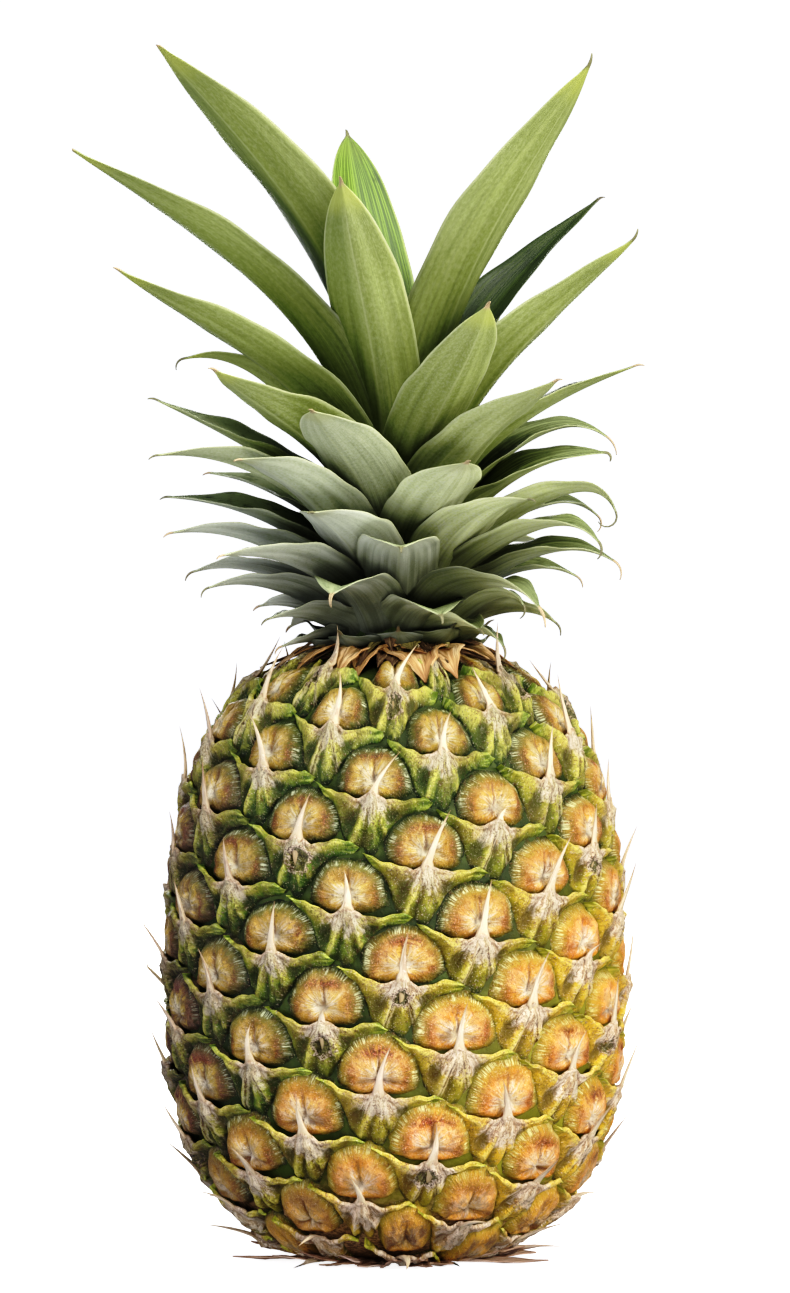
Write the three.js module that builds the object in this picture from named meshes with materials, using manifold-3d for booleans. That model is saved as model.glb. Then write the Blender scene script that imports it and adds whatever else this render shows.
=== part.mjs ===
// A whole ripe pineapple standing on its base: fruit, cut stalk, neck bracts and leafy crown.
// Millimetres, +Z up. The stalk's axis is the Z axis and the surface it stands on is z = 0.
// Azimuth 0 faces -Y and grows toward +X.
import * as THREE from 'three';
import { ConvexHull } from 'three/addons/math/ConvexHull.js';
import { mergeVertices } from 'three/addons/utils/BufferGeometryUtils.js';
import ManifoldModule from 'manifold-3d';

const wasm = await ManifoldModule();
wasm.setup();
const { Manifold, Mesh } = wasm;

// ---- fruit: body of revolution under the eyes (the level of the grooves) ----
const BODY_RADIUS = 64.2;          // groove radius at the widest height
const WIDEST_Z = 75;             // height of the widest section
const LOWER_REACH = 75;          // depth of the lower half's superellipse below WIDEST_Z
const UPPER_REACH = 99.5;        // height of the upper half's superellipse above WIDEST_Z
const LOWER_POWER = 2.55;
const UPPER_POWER = 3.0;
const BASE_Z = 1.3;              // underside of the fruit, clear of the basal bracts
const SHOULDER_Z = 172;          // flat top that carries the crown
const PROFILE_STEPS = 1200;
const END_SIDES = 16;            // corners of the flat top and bottom

// ---- fruit: spiral lattice of eyes ----
const DIVERGENCE = 137.42;       // degrees from one eye to the next
const FIRST_AZIMUTH = 7.7;       // azimuth of eye number 0
const FIRST_Z = 116.6;           // height of eye number 0
const EYE_AREA = 600;            // surface of one eye at mid height, mm2
const END_SHRINK = 0.26;         // eyes near the ends are smaller by this share
const LOWEST_EYE_RADIUS = 33;    // no eyes on the underside inside this radius
const HIGHEST_EYE_RADIUS = 38;   // no eyes under the neck bracts inside this radius
const PITCH = [22.9, 11.5];      // step from an eye to the 8th after it (right, up)
const COUNTER_PITCH = [-16.0, 18.7]; // step from an eye to the 13th after it

// Relief of one eye: right, up and out of the groove level, mm, about the root of its spine.
const BRACT_RELIEF = [
  [-15.0, 2.4, 1.9], [-7.5, 1.3, 3.6], [0.0, 0.4, 4.3], [7.5, 0.1, 3.6], [15.0, -1.6, 1.9],
  [0.0, -4.4, 3.9], [-1.4, -9.4, 2.8], [-2.4, -13.2, 1.1],
];
const DISC_RELIEF = [
  [-8.4, 2.7, 2.1], [0.0, 2.0, 1.6], [8.4, 1.4, 2.1], [-4.6, 6.6, 4.1], [4.7, 6.2, 4.1],
  [-10.4, 5.4, 2.7], [-7.0, 9.9, 2.8], [0.4, 12.2, 2.6], [7.2, 9.6, 2.8], [10.6, 4.4, 2.7],
];
const GROOVE_RELIEF = [
  [3.2, 15.4, 0], [9.9, 11.0, 0], [12.9, 6.8, 0], [15.6, 2.4, 0], [18.2, -1.6, 0.3],
  [-3.8, 14.6, 0], [-8.6, 12.4, 0], [-12.4, 8.8, 0], [-16.4, 4.6, 0.3],
];
const EYE_WANDER = 0.5;          // random shift of an eye's own relief, mm

// ---- fruit: spines ----
const SPINE_LENGTH = 10.5;
const SPINE_SPREAD = 3.0;        // random part of the length
const SPINE_HALF_WIDTH = 1.9;
const SPINE_LEAN = 30;           // degrees off the skin
const SPINE_ROOT_DEPTH = 1.6;

// ---- stalk ----
const STALK_RADIUS = 12;
const STALK_TOP = 9;
const STALK_SIDES = 24;
const GAP = 0.3;                 // clearance between touching pieces
const BASAL_THICKNESS = 0.8;
// Dry bracts flat under the fruit: azimuth, reach, half width at the root.
const BASAL_BRACTS = [
  [-70, 50, 6], [-30, 42, 6], [14, 41, 6], [58, 51, 6],
  [100, 44, 6], [143, 42, 6], [-170, 44, 6], [-120, 45, 6],
];

// ---- neck: brown dry bracts draped over the shoulder ----
const NECK_BORE = 14.4;
const NECK_RING_RADIUS = 19;
const NECK_RING_BOTTOM = 172.3;
const NECK_RING_TOP = 175.6;
const NECK_SIDES = 16;
const NECK_THICKNESS = 0.8;
// Azimuth, reach, height of the tip, half width at the root, lift of the middle.
const NECK_BRACTS = [
  [4, 43.5, 170.2, 6.5, 0.9], [31, 42.0, 171.0, 6.5, 1.2], [60, 38.0, 174.6, 6.0, 2.2],
  [92, 41.0, 172.2, 6.5, 1.4], [122, 42.0, 171.2, 6.5, 1.2], [153, 40.0, 173.0, 6.0, 1.6],
  [178, 42.5, 170.6, 6.5, 1.2], [-152, 40.0, 173.4, 6.0, 1.8], [-124, 42.0, 171.2, 6.5, 1.2],
  [-99, 40.0, 173.2, 6.0, 1.8], [-73, 42.0, 172.2, 6.5, 1.4], [-30, 42.0, 170.8, 6.5, 1.2],
  [-52, 39.0, 173.8, 6.0, 2.0],
];

// ---- crown ----
// Radius of the short stem that the leaf bases wrap, by height.
const CORE = [[172.3, 13.6], [176.0, 13.6], [178.5, 16.5], [187, 16.5], [215, 12.5], [240, 8], [256, 4]];
const CORE_SIDES = 12;
const ROOT_SHARE = 0.88;          // how far out in the core a leaf's keel starts
const LEAF_THICKNESS = 1.0;      // at the keel, 0.7 at the tip
const LEAF_TIP_THICKNESS = 0.7;
const LEAF_BASE = 0.45;           // width at the root, as a share of the widest
const LONG_LEAF = 75;            // leaves longer than this have more rings and points across
const LEAF_STEPS = [5, 6];
const LEAF_ACROSS = [[-1, 0, 1], [-1, -0.42, 0.42, 1]];
// Azimuth, height of the root, reach and height of the tip, half width of the blade laid flat,
// angle from the vertical at the root and at the tip, roll about the keel, bluntness of the tip.
const LEAVES = [
  // lowest whorls, short and spreading
  [-70, 176, 35, 178, 10, 60, 106, -8, 0], [-60, 178, 42, 186, 13, 50, 105, -8, 0],
  [-112, 180, 43, 190, 12, 50, 100, -8, 0], [-75, 183, 56, 195, 12, 54, 106, -8, 0],
  [-98, 186, 60, 200, 12, 54, 106, -8, 0], [-52, 187, 62, 204, 13.5, 44, 94, -6, 0.3],
  [20, 176, 38, 187, 14, 34, 116, 0, 0.7], [-24, 179, 44, 193, 14, 34, 122, 0, 0.6],
  [42, 181, 61, 189, 14, 38, 135, 8, 0], [42, 176, 36, 183, 13, 46, 112, 8, 0.3],
  [72, 180, 39, 190, 12, 44, 150, 8, 0], [92, 179, 47, 185, 12, 48, 128, 8, 0],
  [60, 176, 36, 178, 10, 53, 150, 8, 0], [112, 186, 58, 199, 12, 50, 116, 8, 0],
  [180, 177, 48, 186, 13, 45, 110, 0, 0], [-156, 182, 56, 195, 13, 45, 105, 0, 0],
  [157, 184, 58, 199, 13, 42, 105, 0, 0], [-136, 177, 45, 184, 12, 48, 110, 0, 0],
  // middle whorls, longer, arching out level
  [-80, 191, 66, 211, 13, 50, 98, -8, 0], [-95, 197, 67, 222, 13, 46, 86, -8, 0],
  [-120, 202, 64, 230, 12, 42, 82, -8, 0], [-45, 198, 62, 231, 14, 34, 80, -6, 0.6],
  [-70, 204, 73, 233, 14, 40, 96, -8, 0], [-85, 210, 70, 250, 14, 42, 64, -8, 0],
  [2, 184, 49, 206, 14, 24, 100, 0, 1], [-28, 189, 50, 216, 15, 16, 74, 0, 0.9],
  [45, 190, 54, 220, 15, 28, 86, 8, 0], [24, 196, 50, 230, 14.5, 12, 56, 0, 0.9],
  [86, 188, 64, 203, 12.5, 51, 122, 8, 0], [66, 192, 64, 208, 12.5, 49, 140, 8, 0],
  [112, 196, 65, 217, 12, 44, 130, 8, 0], [80, 197, 65, 217, 12.5, 46, 160, 8, 0],
  [72, 203, 64, 234, 13.5, 36, 92, 8, 0], [102, 207, 64, 240, 12, 30, 125, 8, 0],
  [-170, 192, 64, 214, 14, 38, 95, 0, 0], [166, 200, 68, 229, 14, 32, 85, 0, 0],
  [135, 192, 62, 209, 13, 42, 100, 0, 0], [-145, 194, 62, 212, 13, 42, 100, 0, 0],
  // upper whorls, upright and long
  [-45, 212, 72, 256, 16, 26, 58, -8, 0.2], [-85, 218, 62, 262, 14, 30, 102, -8, 0],
  [-62, 222, 89, 285, 15, 26, 58, -8, 0.2], [-65, 228, 101, 319, 15, 14, 60, -8, 0.2],
  [-22, 202, 62, 244, 15, 8, 58, 0, 0.8], [42, 205, 68, 253, 15, 18, 62, 6, 0.3],
  [22, 212, 69, 273, 13.5, 8, 36, 0, 0.8], [72, 212, 73, 259, 14, 28, 70, 8, 0],
  [62, 218, 77, 294, 15, 20, 50, 6, 0.3], [145, 215, 62, 287, 10, 15, 50, 0, 0],
  [-153, 210, 72, 254, 14, 25, 70, 0, 0], [161, 208, 72, 248, 14, 25, 72, 0, 0],
  [-176, 220, 70, 276, 15, 15, 55, 0, 0], [118, 224, 69, 312, 15, 10, 50, -14, 0],
  [-140, 230, 63, 290, 15, 10, 52, -8, 0],
  // heart of the crown
  [-50, 234, 87, 347, 17, 0, 50, -8, 0.4], [-17, 220, 52, 309, 14, -2, 24, 0, 0.9],
  [52, 230, 70, 343, 16, 6, 36, 6, 0.5], [-160, 236, 42, 332, 13, 2, 18, 0, 1],
  [100, 240, 24, 300, 8, 2, 24, 0, 0.6], [-95, 242, 18, 292, 7, 0, 20, 0, 0.6],
  [170, 244, 10, 284, 6, -4, 12, 0, 0.6],
];

const RAD = Math.PI / 180;

// Small seeded generator, so that every build draws the same numbers.
function seeded(seed) {
  let state = seed;
  return () => {
    state = (Math.imul(state, 1664525) + 1013904223) >>> 0;
    return state / 4294967296;
  };
}

function lerpTable(table, x) {
  if (x <= table[0][0]) return table[0][1];
  for (let i = 1; i < table.length; i += 1) {
    const [x0, y0] = table[i - 1];
    const [x1, y1] = table[i];
    if (x <= x1) return y0 + ((y1 - y0) * (x - x0)) / (x1 - x0);
  }
  return table[table.length - 1][1];
}

// A closed skin as a Manifold, turned right side out.
function solid(points, triangles) {
  const vertProperties = new Float32Array(points.length * 3);
  points.forEach((p, i) => vertProperties.set([p.x, p.y, p.z], i * 3));
  let volume = 0;
  for (const [a, b, c] of triangles) {
    volume += points[a].dot(new THREE.Vector3().crossVectors(points[b], points[c]));
  }
  const faces = volume > 0 ? triangles : triangles.map(([a, b, c]) => [a, c, b]);
  const triVerts = new Uint32Array(faces.flat());
  return new Manifold(new Mesh({ numProp: 3, vertProperties, triVerts }));
}

// A three.js geometry as a Manifold, with its seams closed.
function fromGeometry(geometry) {
  geometry.deleteAttribute('normal');
  geometry.deleteAttribute('uv');
  const merged = mergeVertices(geometry, 1e-4);
  const position = merged.getAttribute('position');
  const points = [];
  for (let i = 0; i < position.count; i += 1) points.push(new THREE.Vector3().fromBufferAttribute(position, i));
  const triangles = [];
  for (let i = 0; i < merged.index.count; i += 3) {
    const [a, b, c] = [merged.index.getX(i), merged.index.getX(i + 1), merged.index.getX(i + 2)];
    if (a !== b && b !== c && c !== a) triangles.push([a, b, c]);
  }
  return solid(points, triangles);
}

// A solid of revolution about the Z axis from [radius, height] pairs.
function turned(outline, sides) {
  const geometry = new THREE.LatheGeometry(outline.map(([r, z]) => new THREE.Vector2(r, z)), sides);
  return fromGeometry(geometry.rotateX(Math.PI / 2));
}

// The one largest body of a union: loose scraps go and sealed hollows are filled.
function oneBody(manifold) {
  const bodies = manifold.decompose();
  return bodies.reduce((best, body) => (body.volume() > best.volume() ? body : best));
}

function toThree(manifold, name, color, roughness) {
  const { vertProperties, triVerts, numProp } = manifold.getMesh();
  const geometry = new THREE.BufferGeometry();
  const positions = new Float32Array((vertProperties.length / numProp) * 3);
  for (let i = 0; i < positions.length / 3; i += 1) {
    for (let k = 0; k < 3; k += 1) positions[i * 3 + k] = vertProperties[i * numProp + k];
  }
  geometry.setAttribute('position', new THREE.BufferAttribute(positions, 3));
  geometry.setIndex(new THREE.BufferAttribute(new Uint32Array(triVerts), 1));
  geometry.computeVertexNormals();
  const material = new THREE.MeshStandardMaterial({ color, roughness, metalness: 0, name });
  const mesh = new THREE.Mesh(geometry, material);
  mesh.name = name;
  return mesh;
}

// A thin blade from rings of [outer row, inner row], each the same count of points across.
// Both faces are split along the same diagonals, so they stay parallel where the blade waves.
function blade(rings) {
  const across = rings[0][0].length;
  const points = rings.flatMap(([outer, inner]) => [...outer, ...inner]);
  const at = (ring, side, j) => ring * across * 2 + side * across + j;
  const triangles = [];
  for (let i = 0; i + 1 < rings.length; i += 1) {
    for (let j = 0; j + 1 < across; j += 1) {
      triangles.push([at(i, 0, j), at(i, 0, j + 1), at(i + 1, 0, j + 1)]);
      triangles.push([at(i, 0, j), at(i + 1, 0, j + 1), at(i + 1, 0, j)]);
      triangles.push([at(i, 1, j), at(i + 1, 1, j + 1), at(i, 1, j + 1)]);
      triangles.push([at(i, 1, j), at(i + 1, 1, j), at(i + 1, 1, j + 1)]);
    }
    const last = across - 1;
    triangles.push([at(i, 0, 0), at(i + 1, 0, 0), at(i + 1, 1, 0)]);
    triangles.push([at(i, 0, 0), at(i + 1, 1, 0), at(i, 1, 0)]);
    triangles.push([at(i, 0, last), at(i + 1, 1, last), at(i + 1, 0, last)]);
    triangles.push([at(i, 0, last), at(i, 1, last), at(i + 1, 1, last)]);
  }
  const end = rings.length - 1;
  for (let j = 0; j + 1 < across; j += 1) {
    triangles.push([at(0, 0, j), at(0, 1, j + 1), at(0, 0, j + 1)]);
    triangles.push([at(0, 0, j), at(0, 1, j), at(0, 1, j + 1)]);
    triangles.push([at(end, 0, j), at(end, 0, j + 1), at(end, 1, j + 1)]);
    triangles.push([at(end, 0, j), at(end, 1, j + 1), at(end, 1, j)]);
  }
  return solid(points, triangles);
}

// ---------------------------------------------------------------- fruit ----

function bodyRadius(z) {
  const [reach, power] = z < WIDEST_Z ? [LOWER_REACH, LOWER_POWER] : [UPPER_REACH, UPPER_POWER];
  const share = Math.min(1, Math.abs(z - WIDEST_Z) / reach);
  return BODY_RADIUS * (1 - share ** power) ** (1 / power);
}

// The meridian, sampled from the base to the shoulder: radius, height, outward normal,
// conformal latitude and the number of eyes below each point.
function meridian() {
  const rows = [];
  for (let k = 0; k <= PROFILE_STEPS; k += 1) {
    // Steps crowd toward both ends, where the outline turns quickly.
    const z = BASE_Z + (SHOULDER_Z - BASE_Z) * (0.5 - 0.5 * Math.cos((Math.PI * k) / PROFILE_STEPS));
    rows.push({ z, r: bodyRadius(z), s: 0, latitude: 0, count: 0 });
  }
  for (let k = 1; k < rows.length; k += 1) {
    const [a, b] = [rows[k - 1], rows[k]];
    const ds = Math.hypot(b.r - a.r, b.z - a.z);
    const r = (a.r + b.r) / 2;
    const end = Math.abs((a.z + b.z) / 2 - 86) / 86;
    const area = EYE_AREA * (1 - END_SHRINK * end ** 3);
    b.s = a.s + ds;
    b.latitude = a.latitude + ds / r;
    b.count = a.count + (2 * Math.PI * r * ds) / area;
  }
  const zero = rows.find((row) => row.z >= FIRST_Z).count;
  const middle = rows.find((row) => row.z >= WIDEST_Z).latitude;
  rows.forEach((row, k) => {
    row.count -= zero;
    row.latitude -= middle;
    const before = rows[Math.max(0, k - 1)];
    const after = rows[Math.min(rows.length - 1, k + 1)];
    const length = Math.hypot(after.r - before.r, after.z - before.z);
    row.out = (after.z - before.z) / length;
    row.up = -(after.r - before.r) / length;
  });
  return rows;
}

const MERIDIAN = meridian();

// A point of the meridian at a fractional eye number.
function atCount(count) {
  let low = 0;
  let high = MERIDIAN.length - 1;
  while (high - low > 1) {
    const middle = (low + high) >> 1;
    if (MERIDIAN[middle].count > count) high = middle;
    else low = middle;
  }
  const [a, b] = [MERIDIAN[low], MERIDIAN[high]];
  const f = THREE.MathUtils.clamp((count - a.count) / (b.count - a.count), 0, 1);
  const mix = (key) => a[key] + (b[key] - a[key]) * f;
  return { r: mix('r'), z: mix('z'), latitude: mix('latitude'), out: mix('out'), up: mix('up') };
}

function azimuthOf(number) {
  return (FIRST_AZIMUTH + number * DIVERGENCE) * RAD;
}

// Eye coordinates (right, up) as steps along the two families of spirals.
const STEP_8 = ((8 * DIVERGENCE + 180) % 360) - 180;
const STEP_13 = ((13 * DIVERGENCE + 180) % 360) - 180;
function onLattice(number, right, up) {
  const det = PITCH[0] * COUNTER_PITCH[1] - COUNTER_PITCH[0] * PITCH[1];
  const a = (right * COUNTER_PITCH[1] - up * COUNTER_PITCH[0]) / det;
  const b = (up * PITCH[0] - right * PITCH[1]) / det;
  const spot = atCount(number + 8 * a + 13 * b);
  return { ...spot, azimuth: azimuthOf(number) + (a * STEP_8 + b * STEP_13) * RAD };
}

function place(spot, height) {
  const r = spot.r + spot.out * height;
  const z = spot.z + spot.up * height;
  return new THREE.Vector3(r * Math.sin(spot.azimuth), -r * Math.cos(spot.azimuth), z);
}

function eyeNumbers() {
  const numbers = [];
  for (let n = Math.ceil(MERIDIAN[0].count); n < MERIDIAN[PROFILE_STEPS].count; n += 1) {
    const { r, z } = atCount(n);
    const inner = z < WIDEST_Z ? LOWEST_EYE_RADIUS : HIGHEST_EYE_RADIUS;
    if (r > inner) numbers.push(n);
  }
  return numbers;
}

// The fruit's skin: every feature of every eye is a vertex. They are joined by their hull on a
// sphere that the surface maps to without distortion, then raised to their own heights.
function fruitSkin() {
  const random = seeded(11);
  const vertices = [];
  const add = (spot, height) => {
    const flat = Math.asin(Math.tanh(spot.latitude));
    vertices.push({
      sphere: new THREE.Vector3(
        Math.cos(flat) * Math.sin(spot.azimuth),
        -Math.cos(flat) * Math.cos(spot.azimuth),
        Math.sin(flat),
      ),
      point: place(spot, height),
    });
  };
  const ends = [MERIDIAN[0], MERIDIAN[PROFILE_STEPS]];
  for (const end of ends) {
    for (let k = 0; k < END_SIDES; k += 1) add({ ...end, azimuth: (k * 2 * Math.PI) / END_SIDES }, 0);
  }
  const inside = (spot) => spot.r > (spot.z < WIDEST_Z ? LOWEST_EYE_RADIUS - 7 : HIGHEST_EYE_RADIUS - 7);
  for (const number of eyeNumbers()) {
    const shift = [(random() - 0.5) * 2 * EYE_WANDER, (random() - 0.5) * 2 * EYE_WANDER];
    const swell = 0.9 + 0.2 * random();
    for (const [right, up, height] of [...BRACT_RELIEF, ...DISC_RELIEF]) {
      const spot = onLattice(number, right + shift[0], up + shift[1]);
      const fade = THREE.MathUtils.clamp((spot.r - 26) / 14, 0.25, 1);
      if (inside(spot)) add(spot, height * swell * fade);
    }
    for (const [right, up, height] of GROOVE_RELIEF) {
      const spot = onLattice(number, right, up);
      if (inside(spot)) add(spot, height);
    }
  }
  const indexOf = new Map(vertices.map((vertex, i) => [vertex.sphere, i]));
  const hull = new ConvexHull().setFromPoints(vertices.map((vertex) => vertex.sphere));
  const triangles = hull.faces.map((face) => {
    const corners = [];
    let edge = face.edge;
    do {
      corners.push(indexOf.get(edge.head().point));
      edge = edge.next;
    } while (edge !== face.edge);
    return corners;
  });
  const points = vertices.map((vertex) => vertex.point);
  points.forEach((p) => { p.z = Math.max(p.z, BASE_Z); });
  return solid(points, triangles);
}

// A dry three-sided spine from the middle of the bract's edge, leaning off the skin.
function spine(number, random) {
  const spot = onLattice(number, (random() - 0.5) * 1.2, -0.4);
  const root = place(spot, 3.2 - SPINE_ROOT_DEPTH);
  const out = place(spot, 1).sub(place(spot, 0));
  const side = new THREE.Vector3(Math.cos(spot.azimuth), Math.sin(spot.azimuth), 0);
  const up = new THREE.Vector3().crossVectors(out, side).normalize();
  const lean = (SPINE_LEAN + (random() - 0.5) * 16) * RAD;
  const swing = (random() - 0.5) * 0.5;
  const direction = up.clone().multiplyScalar(Math.cos(lean))
    .addScaledVector(out, Math.sin(lean))
    .addScaledVector(side, swing)
    .normalize();
  const length = SPINE_LENGTH + (random() - 0.5) * 2 * SPINE_SPREAD;
  const tip = root.clone().addScaledVector(direction, length + SPINE_ROOT_DEPTH);
  const corners = [
    root.clone().addScaledVector(side, -SPINE_HALF_WIDTH),
    root.clone().addScaledVector(side, SPINE_HALF_WIDTH),
    root.clone().addScaledVector(out, 2.2).addScaledVector(up, -0.8),
  ];
  return solid([...corners, tip], [[0, 1, 2], [0, 3, 1], [1, 3, 2], [2, 3, 0]]);
}

function fruitBody() {
  const random = seeded(29);
  const spines = eyeNumbers().map((number) => spine(number, random));
  const whole = Manifold.union([fruitSkin(), ...spines]);
  const bore = STALK_RADIUS + GAP;
  const recess = turned([[0, -1], [bore, -1], [bore, STALK_TOP + GAP], [0, STALK_TOP + GAP]], STALK_SIDES);
  return oneBody(whole.subtract(recess));
}

// ---------------------------------------------------------------- stalk ----

function radial(azimuth) {
  const a = azimuth * RAD;
  return {
    out: new THREE.Vector3(Math.sin(a), -Math.cos(a), 0),
    side: new THREE.Vector3(Math.cos(a), Math.sin(a), 0),
  };
}

function basalBract([azimuth, reach, halfWidth]) {
  const { out, side } = radial(azimuth);
  const start = STALK_RADIUS - 4;
  const rings = [0, 0.55, 1].map((t) => {
    const r = start + (reach - start) * t;
    const half = Math.max(0.6, halfWidth * (1 - t ** 1.6));
    const row = (z) => [-1, 1].map((u) => out.clone().multiplyScalar(r).addScaledVector(side, u * half).setZ(z));
    return [row(0), row(BASAL_THICKNESS)];
  });
  return blade(rings);
}

function stalk() {
  const stub = turned([[0, 0], [STALK_RADIUS, 0], [STALK_RADIUS, STALK_TOP], [0, STALK_TOP]], STALK_SIDES);
  return oneBody(Manifold.union([stub, ...BASAL_BRACTS.map(basalBract)]));
}

// ----------------------------------------------------------------- neck ----

function neckBract([azimuth, reach, tipZ, halfWidth, lift]) {
  const { out, side } = radial(azimuth);
  const start = NECK_BORE + 1.6;
  const rootZ = NECK_RING_TOP - 1.2;
  const rings = [0, 0.3, 0.65, 1].map((t) => {
    const r = start + (reach - start) * t;
    const z = rootZ + (tipZ - rootZ) * t + lift * 4 * t * (1 - t);
    const half = Math.max(0.6, halfWidth * Math.min(0.55 + 1.5 * t, 1 - t ** 1.5));
    const row = (dz) => [-1, 1].map((u) => out.clone().multiplyScalar(r)
      .addScaledVector(side, u * half)
      .setZ(z + dz));
    return [row(0), row(NECK_THICKNESS)];
  });
  return blade(rings);
}

function neck() {
  const ring = turned([
    [NECK_BORE, NECK_RING_BOTTOM], [NECK_RING_RADIUS, NECK_RING_BOTTOM],
    [NECK_RING_RADIUS - 2, NECK_RING_TOP], [NECK_BORE, NECK_RING_TOP], [NECK_BORE, NECK_RING_BOTTOM],
  ], NECK_SIDES);
  return oneBody(Manifold.union([ring, ...NECK_BRACTS.map(neckBract)]));
}

// ---------------------------------------------------------------- crown ----

function leafHalfWidth(halfWidth, blunt, t) {
  if (t < 0.32) return halfWidth * (LEAF_BASE + (1 - LEAF_BASE) * Math.sin((Math.PI * t) / 0.64));
  const s = (t - 0.32) / 0.68;
  return halfWidth * Math.max(0, 1 - s ** (1.5 + 1.6 * blunt)) ** (1 - 0.3 * blunt);
}

// A channelled sword leaf: its keel is a cubic curve in the plane of its azimuth and its
// section is an arc, deep where it clasps the stem and flatter toward the tip.
function leaf([azimuth, rootZ, reach, tipZ, halfWidth, rootAngle, tipAngle, roll, blunt]) {
  const { out, side } = radial(azimuth);
  const root = new THREE.Vector2(lerpTable(CORE, rootZ) * ROOT_SHARE, rootZ);
  const tip = new THREE.Vector2(reach, tipZ);
  const length = root.distanceTo(tip);
  const heading = (angle) => new THREE.Vector2(Math.sin(angle * RAD), Math.cos(angle * RAD));
  const curve = new THREE.CubicBezierCurve(
    root,
    root.clone().addScaledVector(heading(rootAngle), 0.4 * length),
    tip.clone().addScaledVector(heading(tipAngle), -0.33 * length),
    tip,
  );
  const inPlane = (v) => out.clone().multiplyScalar(v.x).setZ(v.y);
  const rings = [];
  const long = length > LONG_LEAF ? 1 : 0;
  const steps = LEAF_STEPS[long];
  for (let k = 0; k <= steps; k += 1) {
    const t = k / steps;
    const keel = inPlane(curve.getPoint(t));
    const along = curve.getTangent(t);
    const face = inPlane(new THREE.Vector2(-along.y, along.x));
    const turn = roll * Math.min(1, 1.6 * t) * RAD;
    const across = side.clone().multiplyScalar(Math.cos(turn)).addScaledVector(face, -Math.sin(turn));
    const inward = face.clone().multiplyScalar(Math.cos(turn)).addScaledVector(side, Math.sin(turn));
    const half = Math.max(0.9, leafHalfWidth(halfWidth, blunt, t));
    const wrap = lerpTable([[0, 45], [0.35, 57], [1, 36]], t) * RAD;
    const arc = half / wrap;
    const thickness = LEAF_THICKNESS + (LEAF_TIP_THICKNESS - LEAF_THICKNESS) * t;
    const row = (radius) => LEAF_ACROSS[long].map((u) => keel.clone()
      .addScaledVector(across, radius * Math.sin(u * wrap))
      .addScaledVector(inward, arc - radius * Math.cos(u * wrap)));
    rings.push([row(arc), row(Math.max(arc - thickness, 0.35 * arc))]);
  }
  return blade(rings);
}

function core() {
  const top = CORE[CORE.length - 1][0] + 2;
  return turned([[0, CORE[0][0]], ...CORE.map(([z, r]) => [r, z]), [0, top]], CORE_SIDES);
}

function crown() {
  return oneBody(Manifold.union([core(), ...LEAVES.map(leaf)]));
}

const pineapple = new THREE.Group();
pineapple.name = 'pineapple';
pineapple.add(
  toThree(fruitBody(), 'fruit_body', 0xb08a2e, 0.6),
  toThree(stalk(), 'peduncle', 0xa08a64, 0.85),
  toThree(neck(), 'neck_bracts', 0xa8672f, 0.8),
  toThree(crown(), 'crown', 0x6f8a3a, 0.5),
);

export default pineapple;
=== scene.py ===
"""A ripe pineapple standing on its base: fruit with eyes, bracts and spines, neck and crown."""
import math

import bpy
import numpy as np
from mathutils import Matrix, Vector


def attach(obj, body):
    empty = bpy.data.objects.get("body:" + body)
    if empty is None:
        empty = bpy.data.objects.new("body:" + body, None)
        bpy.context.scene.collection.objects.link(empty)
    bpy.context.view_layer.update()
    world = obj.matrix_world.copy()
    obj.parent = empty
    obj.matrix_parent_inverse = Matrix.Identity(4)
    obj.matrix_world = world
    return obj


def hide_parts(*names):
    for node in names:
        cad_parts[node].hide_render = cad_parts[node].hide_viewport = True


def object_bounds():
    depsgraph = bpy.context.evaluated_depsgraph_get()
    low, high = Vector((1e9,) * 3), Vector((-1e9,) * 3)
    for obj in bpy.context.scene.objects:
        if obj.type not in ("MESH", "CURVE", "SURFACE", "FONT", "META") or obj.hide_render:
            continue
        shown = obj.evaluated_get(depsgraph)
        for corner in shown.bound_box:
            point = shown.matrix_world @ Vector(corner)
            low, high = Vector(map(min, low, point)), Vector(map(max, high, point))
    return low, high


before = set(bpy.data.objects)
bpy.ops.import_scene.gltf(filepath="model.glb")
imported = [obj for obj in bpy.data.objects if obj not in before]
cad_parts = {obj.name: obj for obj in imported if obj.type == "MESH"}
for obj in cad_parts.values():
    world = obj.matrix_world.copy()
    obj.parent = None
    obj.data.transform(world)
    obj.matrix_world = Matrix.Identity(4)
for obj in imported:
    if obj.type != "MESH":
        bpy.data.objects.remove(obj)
cad_box = [list(corner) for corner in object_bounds()]

MM = 0.001
RAD = math.pi / 180
ANY_PHASE = 6.3             # upper limit of a random phase, in radians

# ------------------------------------------------------------ fruit lattice
# The outline: two superellipses that meet at the widest height.
BODY_RADIUS, WIDEST_Z = 64.2, 75.0
LOWER_REACH, UPPER_REACH = 75.0, 99.5
LOWER_POWER, UPPER_POWER = 2.55, 3.0
BASE_Z, SHOULDER_Z, MIDDLE_Z = 1.3, 174.0, 86.0
# The spiral: degrees from eye to eye, the place of eye 0, the skin in mm2 for each eye.
DIVERGENCE = 137.42
FIRST_AZIMUTH, FIRST_Z = 7.7, 116.6
EYE_AREA, END_SHRINK = 600.0, 0.26
LOWEST_EYE_RADIUS, HIGHEST_EYE_RADIUS = 22.0, 19.0
# Right and up, in mm, to the eyes numbered 8 and 13 higher.
PITCH, COUNTER_PITCH = (22.9, 11.5), (-16.0, 18.7)


def smooth(low, high, x):
    """0 at low and 1 at high, with a soft start and end; low may be the larger."""
    t = np.clip((x - low) / (high - low), 0, 1)
    return t * t * (3 - 2 * t)


def bell(x, width):
    """1 where x is 0, falling to both sides."""
    return np.exp(-(x / width) ** 2)


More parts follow.
